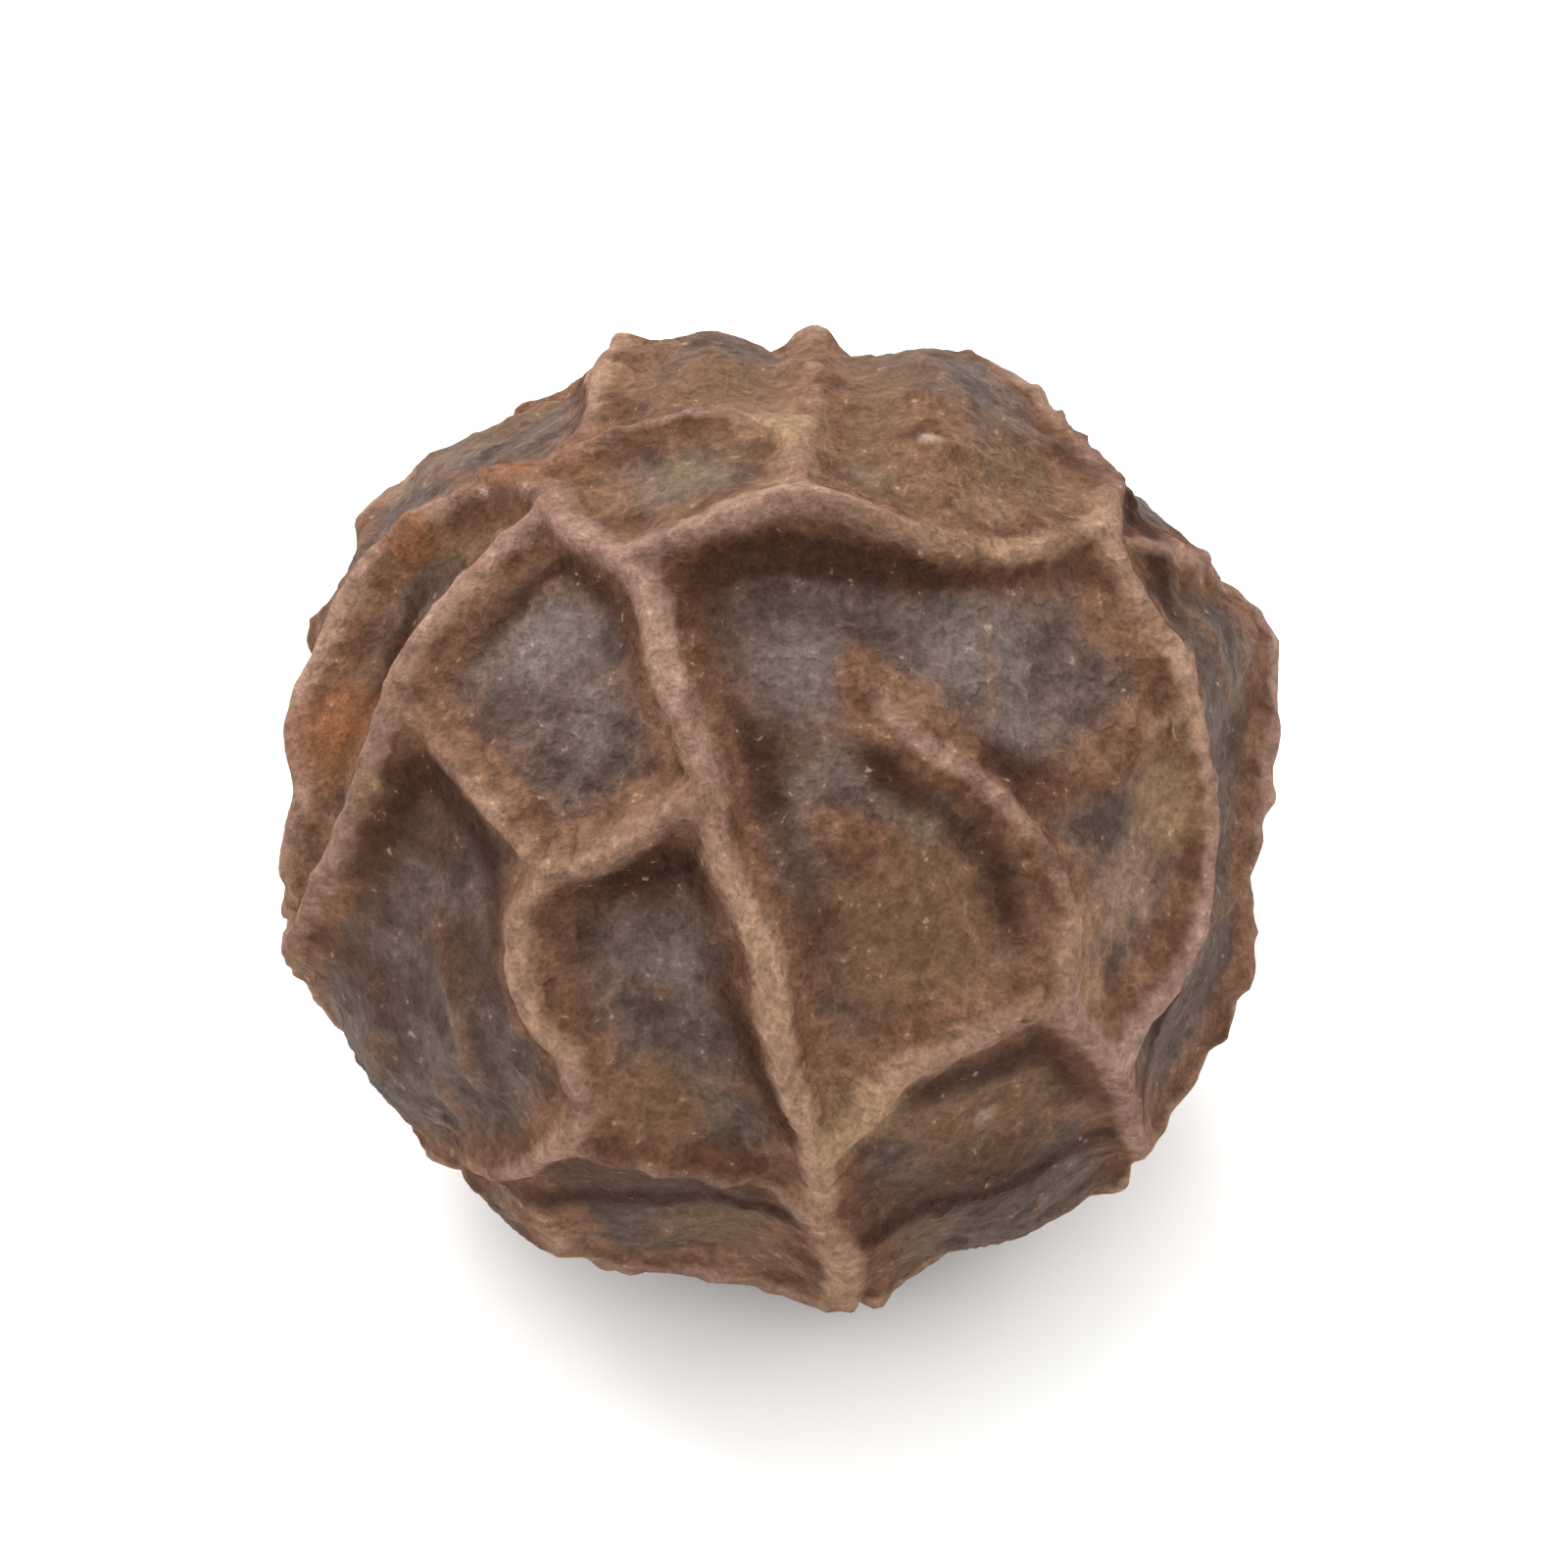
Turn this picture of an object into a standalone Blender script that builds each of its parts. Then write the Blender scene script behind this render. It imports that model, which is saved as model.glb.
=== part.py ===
"""A dried black peppercorn, in metres, +Z up, resting on the small flat spot under it.

The whole fruit dried in one piece: its skin shrank on to the round stone and folded
into a net of sharp ridges with hollows between them. The net is raised from the body
by one formula, from the distance to each ridge. On the side that faces the viewer the
ridges follow lines placed one by one. On the far side they stand where two hollows of
an even, shaken spiral are equally near. The origin is the middle of the resting spot.
"""

import math

import bmesh
import bpy
import numpy as np

MM = 0.001

# Overall form, in millimetres
CREST_RADIUS = 2.60
BODY_SQUASH = 0.98
SWELL = 0.03
FOOT_RADIUS = 1.00

# Ridges, in millimetres
RIDGE_HEIGHT = 0.28
CREST_ROUNDING = 0.06
RIDGE_SPREAD = 0.11
SKIRT_SHARE = 0.30
SKIRT_SPREAD = 0.40
RIDGE_OVERRUN = 0.10
RIDGE_LEAN = 0.055
WANDER = 0.05
WOBBLE = 0.03
FLOOR_UNEVENNESS = 0.035

# Ridges, as shares and plain numbers
RIDGE_UNEVENNESS = 0.18
RIDGE_JOINING = 8.0
STEPS_TO_A_SPAN = 4

# Direction that the seen side is looked at from, as degrees above the horizon
VIEW_ELEVATION = 52.0

# Ridges of the seen side: millimetres right and up of the middle, share of full height
SEEN_RIDGES = {
    "long": (
        (-1.47, 1.83, 0.90),
        (-1.11, 1.58, 1.00),
        (-0.81, 1.31, 1.00),
        (-0.61, 0.85, 1.00),
        (-0.45, 0.27, 1.00),
        (-0.27, -0.27, 1.00),
        (0.00, -0.88, 1.00),
        (0.19, -1.55, 1.00),
        (0.22, -2.10, 1.00),
        (0.25, -2.60, 0.80),
        (0.27, -3.14, 0.30),
    ),
    "left": (
        (-1.19, 1.65, 0.90),
        (-1.54, 1.34, 0.90),
        (-1.79, 0.97, 1.00),
        (-1.98, 0.50, 1.00),
        (-2.21, 0.08, 1.00),
        (-2.41, -0.39, 1.00),
        (-2.62, -0.74, 0.90),
        (-3.05, -0.93, 0.30),
    ),
    "left rim": (
        (-1.38, 1.79, 0.70),
        (-1.85, 1.56, 0.80),
        (-2.17, 1.23, 0.80),
        (-2.39, 0.74, 0.80),
        (-2.48, 0.19, 0.80),
        (-2.56, -0.43, 0.80),
    ),
    "heart foot": (
        (-1.92, 0.54, 0.50),
        (-1.58, 0.12, 0.60),
        (-1.19, -0.22, 0.80),
        (-0.80, -0.09, 0.85),
        (-0.43, 0.13, 0.90),
    ),
    "low middle": (
        (-1.19, -0.22, 0.80),
        (-1.42, -0.50, 0.85),
        (-1.38, -0.88, 0.85),
        (-1.21, -1.20, 0.80),
        (-1.12, -1.55, 0.75),
        (-1.23, -1.79, 0.70),
        (-1.54, -1.90, 0.60),
        (-1.81, -2.10, 0.50),
        (-2.16, -2.41, 0.20),
    ),
    "low edge": (
        (-1.23, -1.77, 0.60),
        (-0.84, -1.89, 0.60),
        (-0.37, -1.92, 0.60),
        (-0.02, -1.96, 0.60),
        (0.22, -2.13, 0.70),
    ),
    "under left": (
        (-1.38, -2.04, 0.50),
        (-0.84, -2.48, 0.80),
        (-0.37, -2.62, 0.80),
        (0.25, -2.65, 0.90),
    ),
    "low right": (
        (0.19, -1.69, 0.90),
        (0.48, -1.51, 1.00),
        (0.71, -1.28, 1.00),
        (0.99, -1.13, 1.00),
        (1.28, -1.02, 1.00),
        (1.51, -1.07, 1.00),
        (1.72, -1.27, 1.00),
        (1.80, -1.55, 0.90),
        (1.92, -1.86, 0.80),
        (2.27, -2.25, 0.30),
    ),
    "diagonal": (
        (0.31, 1.05, 0.15),
        (0.52, 0.74, 0.55),
        (0.79, 0.44, 0.70),
        (1.09, 0.17, 0.70),
        (1.32, -0.16, 0.65),
        (1.47, -0.50, 0.65),
        (1.49, -0.81, 0.75),
        (1.51, -1.07, 0.90),
    ),
    "top": (
        (-0.79, 1.29, 1.00),
        (-0.41, 1.41, 1.15),
        (0.03, 1.57, 1.30),
        (0.48, 1.53, 1.35),
        (0.91, 1.53, 1.35),
        (1.30, 1.55, 1.25),
        (1.67, 1.61, 1.05),
    ),
    "right": (
        (0.91, 2.99, 0.30),
        (1.05, 2.64, 0.60),
        (1.37, 2.21, 0.80),
        (1.67, 1.61, 1.00),
        (1.82, 1.27, 1.00),
        (2.02, 0.91, 1.00),
        (2.19, 0.50, 1.00),
        (2.28, 0.08, 0.90),
        (2.24, -0.39, 0.80),
        (2.06, -0.76, 0.80),
        (1.87, -1.05, 0.80),
        (1.75, -1.28, 1.00),
    ),
    "right rim": (
        (1.84, 1.55, 0.60),
        (2.27, 1.33, 0.80),
        (2.64, 1.09, 1.00),
        (2.73, 0.70, 0.90),
        (2.65, 0.27, 0.80),
        (2.59, -0.27, 0.70),
        (2.57, -0.70, 0.80),
        (2.34, -1.20, 0.60),
        (1.92, -1.79, 0.80),
    ),
    "faint right": (
        (1.09, 0.08, 0.30),
        (1.41, 0.13, 0.40),
        (1.72, 0.29, 0.45),
        (2.07, 0.54, 0.60),
    ),
    "crown": (
        (-1.34, 1.82, 0.80),
        (-1.03, 1.99, 0.70),
        (-0.57, 2.07, 0.60),
        (-0.20, 2.09, 0.60),
        (0.01, 1.94, 0.70),
        (0.05, 1.59, 0.90),
    ),
    "crown left": (
        (-1.27, 1.89, 0.70),
        (-1.03, 2.17, 0.65),
        (-0.78, 2.55, 0.60),
        (-0.64, 2.99, 0.30),
    ),
    "crown right": (
        (0.01, 1.96, 0.60),
        (0.09, 2.29, 0.50),
        (0.09, 2.63, 0.45),
        (0.09, 3.07, 0.25),
    ),
    "lump": (
        (0.13, 0.08, 0.15),
        (0.43, -0.14, 0.45),
        (0.75, -0.47, 0.15),
    ),
    "knob": (
        (0.58, 2.29, 0.30),
        (0.71, 2.02, 0.50),
        (0.75, 1.75, 0.30),
    ),
}

# Broad rises and dips of the seen side: millimetres right and up, height, width
SEEN_SWELLS = {
    "crown left": (-0.37, 1.75, 0.08, 0.50),
    "crown right": (0.87, 1.98, 0.08, 0.60),
    "upper right": (0.87, 0.89, -0.12, 0.75),
    "heart right": (0.02, 0.81, -0.06, 0.50),
    "heart left": (-1.23, 0.66, -0.02, 0.60),
    "low middle": (-0.76, -0.81, -0.07, 0.60),
    "low left": (-1.92, -0.43, -0.06, 0.50),
    "mid right": (0.71, -0.50, -0.04, 0.60),
    "low right": (1.18, -1.51, -0.04, 0.50),
    "foot left": (-0.53, -2.21, -0.06, 0.50),
    "low right rim": (2.27, -1.05, -0.06, 0.50),
    "upper right rim": (1.72, 2.06, -0.04, 0.50),
    "left rim": (-2.20, 0.93, -0.05, 0.40),
}

# Outline of the seen side: degrees anticlockwise from the right, millimetres from the middle
OUTLINE = (
    (0.0, 2.58),
    (10.0, 2.65),
    (22.0, 2.81),
    (31.0, 2.66),
    (42.0, 2.77),
    (52.0, 2.69),
    (63.0, 2.80),
    (73.0, 2.80),
    (82.0, 2.64),
    (90.0, 2.65),
    (98.0, 2.88),
    (106.0, 2.79),
    (116.0, 2.70),
    (126.0, 2.80),
    (136.0, 2.86),
    (152.0, 2.84),
    (166.0, 2.78),
    (177.0, 2.63),
    (190.0, 2.68),
    (203.0, 2.84),
    (215.0, 2.85),
    (225.0, 2.65),
    (236.0, 2.84),
    (248.0, 2.68),
    (262.0, 2.52),
    (277.0, 2.68),
    (288.0, 2.72),
    (298.0, 2.84),
    (308.0, 2.74),
    (318.0, 2.57),
    (330.0, 2.61),
    (342.0, 2.66),
    (352.0, 2.54),
)
RIM_BAND = 0.40

# Hollows just behind the rim: degrees anticlockwise from the right
RIM_HOLLOWS = (-97.0, -120.0, -149.0, 172.0, 128.0, 97.0, 78.0, 45.0, 4.0, -30.0, -64.0)
RIM_HOLLOW_REACH = 2.95

# Hollows of the far side
SPIRAL_HOLLOWS = 46
SPIRAL_SHAKE = 0.08
CLEAR_OF_PLACED = 0.95
FAR_SIDE_LIMIT = -0.10
FAR_SIDE_FADE = (-0.15, 0.15)
FURTHEST_NEIGHBOUR = 1.2

# Small folds that cross the hollows
SMALL_CELLS = 150
SMALL_SHAKE = 0.05
SMALL_LOWEST = -0.4
SMALL_FURTHEST = 0.55
SMALL_WIDTH = 0.7
SMALL_HEIGHT = 0.07

# Scar where the fruit sat on its spike, on the far side, in millimetres
SCAR_DIRECTION = (-0.42, 0.86, 0.29)
SCAR_RIM_RADIUS = 0.40
SCAR_RIM_WIDTH = 0.10
SCAR_RIM_HEIGHT = 0.20
SCAR_POINT_RADIUS = 0.09
SCAR_POINT_HEIGHT = 0.13
SCAR_CLEARING = (0.50, 0.85)

# Over the resting spot the hollows are shallower, in millimetres from its middle
FOOT_CLEARING = (0.95, 1.70)
FOOT_SHARE = 0.05

SEED = 11
SPHERE_SUBDIVISIONS = 7
KEPT_FACES = 0.138


def unit(vectors):
    """Vectors scaled to length one."""
    return vectors / np.linalg.norm(vectors, axis=-1, keepdims=True)


def smooth_step(values, low, high):
    """0 below low, 1 above high, and a smooth rise between them."""
    t = np.clip((values - low) / (high - low), 0.0, 1.0)
    return t * t * (3.0 - 2.0 * t)


def view_axes():
    """Right, up and toward the viewer, as the seen side is looked at."""
    tilt = math.radians(VIEW_ELEVATION)
    right = np.array((1.0, 0.0, 0.0))
    up = np.array((0.0, math.sin(tilt), math.cos(tilt)))
    toward = np.array((0.0, -math.cos(tilt), math.sin(tilt)))
    return right, up, toward


def seen_direction(right_mm, up_mm):
    """Direction of a point of the body seen right_mm and up_mm from its middle.

    A point further out than the rim lies behind it, as far as it is outside it.
    """
    right, up, toward = view_axes()
    away = math.hypot(right_mm, up_mm)
    if away == 0.0:
        return toward
    if away < CREST_RADIUS:
        turn = math.asin(away / CREST_RADIUS)
    else:
        turn = math.pi / 2.0 + away / CREST_RADIUS - 1.0
    outward = (right_mm * right + up_mm * up) / away
    return toward * math.cos(turn) + outward * math.sin(turn)


def smooth_line(rows):
    """Catmull-Rom curve through all the rows but the first and last, a few steps to a span."""
    t = (np.arange(STEPS_TO_A_SPAN) / STEPS_TO_A_SPAN)[:, None]
    spans = []
    for a, b, c, d in zip(rows, rows[1:], rows[2:], rows[3:]):
        bent = (c - a) * t + (2.0 * a - 5.0 * b + 4.0 * c - d) * t**2
        spans.append(b + 0.5 * (bent + (3.0 * b - a - 3.0 * c + d) * t**3))
    return np.vstack((*spans, rows[-2:-1]))


def ridge_line(points):
    """Places on the ball and height shares along the smooth line through the points."""
    rows = np.array([(*seen_direction(right, up), share) for right, up, share in points])
    line = smooth_line(np.vstack((2.0 * rows[0] - rows[1], rows, 2.0 * rows[-1] - rows[-2])))
    return unit(line[:, :3]), line[:, 3]


def ridge_profile(distance):
    """1 on a crest: it falls off exponentially, steeply and then as a wide skirt."""
    rounded = np.sqrt(distance**2 + CREST_ROUNDING**2) - CREST_ROUNDING
    steep = (1.0 - SKIRT_SHARE) * np.exp(-rounded / RIDGE_SPREAD)
    return steep + SKIRT_SHARE * np.exp(-rounded / SKIRT_SPREAD)


def seen_net(directions):
    """The seen ridges' heights, by the distance to the nearest part of each line, raised
    to the power of RIDGE_JOINING and added."""
    total = np.zeros(len(directions))
    for points in SEEN_RIDGES.values():
        places, shares = ridge_line(points)
        nearest = np.full(len(directions), np.inf)
        share = np.zeros(len(directions))
        for k in range(len(places) - 1):
            along = places[k + 1] - places[k]
            t = np.clip((directions - places[k]) @ along / (along @ along), 0.0, 1.0)
            away = np.linalg.norm(directions - places[k] - t[:, None] * along, axis=1)
            closer = away < nearest
            nearest[closer] = away[closer]
            share[closer] = (shares[k] + (shares[k + 1] - shares[k]) * t)[closer]
        total += (share * ridge_profile(nearest * CREST_RADIUS)) ** RIDGE_JOINING
    return total


def cell_net(directions, centres, shares, furthest, width):
    """Ridges between scattered centres, raised to the power of RIDGE_JOINING and added.

    A direction's score for a centre is how much it faces it. The crest between two
    centres lies where their scores are equal, and the distance to it is the difference
    of the scores over the distance between the centres. The height falls off where a
    third centre scores more than both.
    """
    score = directions @ centres.T
    best = score.max(axis=1)
    total = np.zeros(len(directions))
    for first in range(len(centres)):
        for second in range(first):
            apart = np.linalg.norm(centres[first] - centres[second])
            if apart > furthest:
                continue
            gap = np.abs(score[:, first] - score[:, second]) / apart
            distance = np.arcsin(np.minimum(gap, 1.0)) * CREST_RADIUS
            beyond = best - np.maximum(score[:, first], score[:, second])
            height = shares[first, second] * ridge_profile(distance / width)
            height *= np.exp(-beyond * CREST_RADIUS / (RIDGE_OVERRUN * width))
            total += height**RIDGE_JOINING
    return total


def spiral_directions(rng, count, shake):
    """Even points on the ball along a golden-angle spiral, each shaken a little."""
    turn = math.pi * (3.0 - math.sqrt(5.0))
    k = np.arange(count)
    z = 1.0 - (2.0 * k + 1.0) / count
    ring = np.sqrt(1.0 - z * z)
    points = np.stack((ring * np.cos(k * turn), ring * np.sin(k * turn), z), axis=1)
    return unit(points + rng.normal(0.0, shake, points.shape))


def far_hollows(rng):
    """Centres of the hollows behind the rim, of the scar and of the far side's spiral."""
    placed = [np.array(SCAR_DIRECTION)]
    for degrees in RIM_HOLLOWS:
        across = RIM_HOLLOW_REACH * math.cos(math.radians(degrees))
        placed.append(seen_direction(across, RIM_HOLLOW_REACH * math.sin(math.radians(degrees))))
    placed = unit(np.array(placed))
    spiral = spiral_directions(rng, SPIRAL_HOLLOWS, SPIRAL_SHAKE)
    nearest = np.arccos(np.clip(spiral @ placed.T, -1.0, 1.0)).min(axis=1)
    facing = spiral @ view_axes()[2]
    kept = (nearest * CREST_RADIUS > CLEAR_OF_PLACED) & (facing < FAR_SIDE_LIMIT)
    return np.vstack((placed, spiral[kept]))


def make_waves(rng, count, slowest, fastest):
    """Random wave directions, each as long as its waves per radian, and phases."""
    heading = unit(rng.normal(size=(count, 3)))
    rate = rng.uniform(slowest, fastest, (count, 1))
    return heading * rate, rng.uniform(0.0, 2.0 * math.pi, count)


def ripple(directions, waves):
    """Smooth random field of about -1 to 1: the scaled sum of the waves' cosines."""
    headings, phases = waves
    return np.cos(directions @ headings.T + phases).sum(axis=1) / math.sqrt(len(phases) / 2.0)


def bend(directions, rng):
    """Shifts each direction a little, so that the ridges wander and wobble."""
    shift = np.zeros_like(directions)
    for size, slowest, fastest in ((WANDER, 3.0, 6.0), (WOBBLE, 12.0, 20.0)):
        for axis in range(3):
            shift[:, axis] += size * ripple(directions, make_waves(rng, 8, slowest, fastest))
    return unit(directions + shift / CREST_RADIUS)


def ridge_net(directions, centres):
    """0 on the hollows' floors and 1 on the crests: the seen ridges, and behind the rim the
    far side's, joined as a smooth maximum."""
    even = np.ones((len(centres), len(centres)))
    far = cell_net(directions, centres, even, FURTHEST_NEIGHBOUR, 1.0)
    far *= (1.0 - smooth_step(directions @ view_axes()[2], *FAR_SIDE_FADE)) ** RIDGE_JOINING
    return (seen_net(directions) + far) ** (1.0 / RIDGE_JOINING)


def small_folds(directions, rng):
    """0 to 1: a finer, weaker net of folds, of which many are low or missing."""
    centres = spiral_directions(rng, SMALL_CELLS, SMALL_SHAKE)
    shares = np.maximum(rng.uniform(SMALL_LOWEST, 1.0, (SMALL_CELLS, SMALL_CELLS)), 0.0)
    folds = cell_net(bend(directions, rng), centres, shares, SMALL_FURTHEST, SMALL_WIDTH)
    return folds ** (1.0 / RIDGE_JOINING)


def rim_share(directions):
    """1 on the rim of the seen side, fading to both sides of it."""
    return np.exp(-((directions @ view_axes()[2] / RIM_BAND) ** 2))


def outline_rise(directions):
    """Millimetres by which a smooth line through the outline's points stands out of the ball."""
    right, up, _ = view_axes()
    degrees = np.degrees(np.arctan2(directions @ up, directions @ right)) % 360.0
    rows = np.array(OUTLINE)
    turn = np.array((360.0, 0.0))
    line = smooth_line(np.vstack((rows[-2:] - turn, rows, rows[:2] + turn)))
    return np.interp(degrees, line[:, 0], line[:, 1]) - CREST_RADIUS


def scar_relief(arc):
    """Raised rim round a small pit with a point in its middle, by distance from it."""
    rim = SCAR_RIM_HEIGHT * np.exp(-(((arc - SCAR_RIM_RADIUS) / SCAR_RIM_WIDTH) ** 2))
    point = SCAR_POINT_HEIGHT * np.exp(-((arc / SCAR_POINT_RADIUS) ** 2))
    return rim + point


def arc_from(directions, centre):
    """Millimetres along the ball from a direction."""
    return np.arccos(np.clip(directions @ unit(np.array(centre)), -1.0, 1.0)) * CREST_RADIUS


def lean_field(directions, rng):
    """Vectors along the surface: down as it is seen, and a smooth random part."""
    field = np.stack([ripple(directions, make_waves(rng, 8, 2.0, 4.0)) for _ in range(3)], axis=1)
    field = 0.6 * field - view_axes()[1]
    return field - directions * (field * directions).sum(axis=1)[:, None]


def skin_points(directions):
    """Points of the skin in millimetres from the middle, one in each direction."""
    rng = np.random.default_rng(SEED)
    centres = far_hollows(rng)
    net = ridge_net(bend(directions, rng), centres)

    rim = rim_share(directions)
    swell = outline_rise(directions) * rim
    swell += SWELL * ripple(directions, make_waves(rng, 8, 1.5, 3.0)) * (1.0 - rim)
    for right_mm, up_mm, rise, width in SEEN_SWELLS.values():
        arc = arc_from(directions, seen_direction(right_mm, up_mm))
        swell += rise * np.exp(-((arc / width) ** 2))

    uneven = 1.0 + RIDGE_UNEVENNESS * ripple(directions, make_waves(rng, 10, 3.0, 9.0))
    floor = FLOOR_UNEVENNESS * ripple(directions, make_waves(rng, 10, 6.0, 12.0))
    floor += SMALL_HEIGHT * small_folds(directions, rng)
    relief = RIDGE_HEIGHT * net * uneven + floor * (1.0 - net)

    scar_arc = arc_from(directions, SCAR_DIRECTION)
    around = smooth_step(scar_arc, *SCAR_CLEARING)
    relief = relief * around + scar_relief(scar_arc) * (1.0 - around)

    beyond = smooth_step(arc_from(directions, (0.0, 0.0, -1.0)), *FOOT_CLEARING)
    depth = FOOT_SHARE + (1.0 - FOOT_SHARE) * beyond
    radius = CREST_RADIUS + swell * beyond + (relief - RIDGE_HEIGHT) * depth
    lean = RIDGE_LEAN * net**2 * around * beyond
    return directions * radius[:, None] + lean_field(directions, rng) * lean[:, None]


def foot_height():
    """Height of the middle above the resting plane, in millimetres."""
    return math.sqrt(CREST_RADIUS**2 - FOOT_RADIUS**2)


def make_collection(name):
    """New collection of the scene."""
    collection = bpy.data.collections.new(name)
    bpy.context.scene.collection.children.link(collection)
    return collection


def skin_material():
    """Dull dark brown dried skin."""
    material = bpy.data.materials.new("dried_skin")
    material.use_nodes = True
    shader = material.node_tree.nodes["Principled BSDF"]
    shader.inputs["Base Color"].default_value = (0.115, 0.068, 0.046, 1.0)
    shader.inputs["Roughness"].default_value = 0.62
    shader.inputs["Metallic"].default_value = 0.0
    return material


def build_corn(collection):
    """The wrinkled body: a fine ball whose points are moved to the skin's places."""
    mesh = bpy.data.meshes.new("peppercorn")
    ball = bmesh.new()
    bmesh.ops.create_icosphere(ball, subdivisions=SPHERE_SUBDIVISIONS, radius=1.0)
    ball.to_mesh(mesh)
    ball.free()

    points = np.empty(len(mesh.vertices) * 3)
    mesh.vertices.foreach_get("co", points)
    skin = skin_points(unit(points.reshape(-1, 3)))
    skin[:, 2] = (skin[:, 2] + foot_height()) * BODY_SQUASH
    mesh.vertices.foreach_set("co", (skin * MM).ravel())
    mesh.shade_smooth()
    mesh.materials.append(skin_material())

    corn = bpy.data.objects.new("peppercorn", mesh)
    collection.objects.link(corn)
    thin = corn.modifiers.new("fewer faces", "DECIMATE")
    thin.decimate_type = "COLLAPSE"
    thin.ratio = KEPT_FACES
    return corn


def cut_foot(corn, collection):
    """Cuts the body flat at the resting plane, with a block whose top lies in it."""
    side = 2.0 * CREST_RADIUS * MM
    bpy.ops.mesh.primitive_cube_add(size=side, location=(0.0, 0.0, -0.5 * side))
    block = bpy.context.object
    block.name = "foot_cutter"
    for other in block.users_collection:
        other.objects.unlink(block)
    collection.objects.link(block)
    block.hide_render = True
    block.display_type = "WIRE"
    cut = corn.modifiers.new("flat spot", "BOOLEAN")
    cut.operation = "DIFFERENCE"
    cut.solver = "EXACT"
    cut.object = block


for old in list(bpy.data.objects):
    bpy.data.objects.remove(old, do_unlink=True)

parts = make_collection("black_peppercorn")
cutters = make_collection("cutters")
peppercorn = build_corn(parts)
cut_foot(peppercorn, cutters)
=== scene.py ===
"""Looks of a dried black peppercorn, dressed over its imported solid, in metres, +Z up."""

import math

import bpy
import numpy as np
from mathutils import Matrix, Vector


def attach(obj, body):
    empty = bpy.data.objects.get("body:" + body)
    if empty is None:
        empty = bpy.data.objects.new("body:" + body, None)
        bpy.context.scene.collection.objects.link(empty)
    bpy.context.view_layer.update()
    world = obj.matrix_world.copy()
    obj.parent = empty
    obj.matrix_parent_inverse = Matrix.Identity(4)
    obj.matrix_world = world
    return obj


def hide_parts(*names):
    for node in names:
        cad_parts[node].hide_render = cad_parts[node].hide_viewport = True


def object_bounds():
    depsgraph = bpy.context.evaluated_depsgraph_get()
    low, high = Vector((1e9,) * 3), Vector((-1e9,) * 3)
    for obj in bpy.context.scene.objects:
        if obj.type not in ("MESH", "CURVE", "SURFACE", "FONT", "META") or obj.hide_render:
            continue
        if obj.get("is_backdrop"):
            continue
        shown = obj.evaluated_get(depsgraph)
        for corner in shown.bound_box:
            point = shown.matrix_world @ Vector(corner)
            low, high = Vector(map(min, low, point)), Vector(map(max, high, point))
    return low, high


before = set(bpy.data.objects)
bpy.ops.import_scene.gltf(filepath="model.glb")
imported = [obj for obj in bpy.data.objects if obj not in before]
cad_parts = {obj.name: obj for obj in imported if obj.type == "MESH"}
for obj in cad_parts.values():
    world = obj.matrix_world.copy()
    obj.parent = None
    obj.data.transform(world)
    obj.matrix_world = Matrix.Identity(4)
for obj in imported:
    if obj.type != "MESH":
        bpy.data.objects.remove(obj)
cad_low, cad_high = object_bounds()

# Dried skin
# The whole corn is one dried fruit. Its thin skin shrank on to the round stone and
# folded into a net of sharp ridges, with finer puckers running down into the hollows.
# The form repeats the solid's own values, and the puckers are added to it.

MM = 0.001

# Overall form, in millimetres, with the squash as a share of the height
CREST_RADIUS = 2.60
BODY_SQUASH = 0.98
SWELL = 0.03
FOOT_RADIUS = 1.00

# Ridges, in millimetres, with the skirt's part of the profile as a share
RIDGE_HEIGHT = 0.28
CREST_ROUNDING = 0.06
RIDGE_SPREAD = 0.11
SKIRT_SHARE = 0.30
SKIRT_SPREAD = 0.40
RIDGE_OVERRUN = 0.10
RIDGE_LEAN = 0.055
WANDER = 0.05
WOBBLE = 0.03
FLOOR_UNEVENNESS = 0.035

# Ridges: unevenness as a share, power that joins them, steps of a line between two of its
# points, and how many overruns away a ridge counts as nothing
RIDGE_UNEVENNESS = 0.18
RIDGE_JOINING = 8.0
STEPS_TO_A_SPAN = 4
NOTHING_LEFT = 5.0

# Random waves: how many, and the fewest and most radians of wave to a radian of the ball
WANDER_WAVES = (8, 3.0, 6.0)
WOBBLE_WAVES = (8, 12.0, 20.0)
SWELL_WAVES = (8, 1.5, 3.0)
UNEVEN_WAVES = (10, 3.0, 9.0)
FLOOR_WAVES = (10, 6.0, 12.0)
LEAN_WAVES = (8, 2.0, 4.0)

# Random part of the crests' lean, as a share of the part that points down
LEAN_STRAY = 0.6

# Direction that the seen side is looked at from, as degrees above the horizon
VIEW_ELEVATION = 52.0

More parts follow.
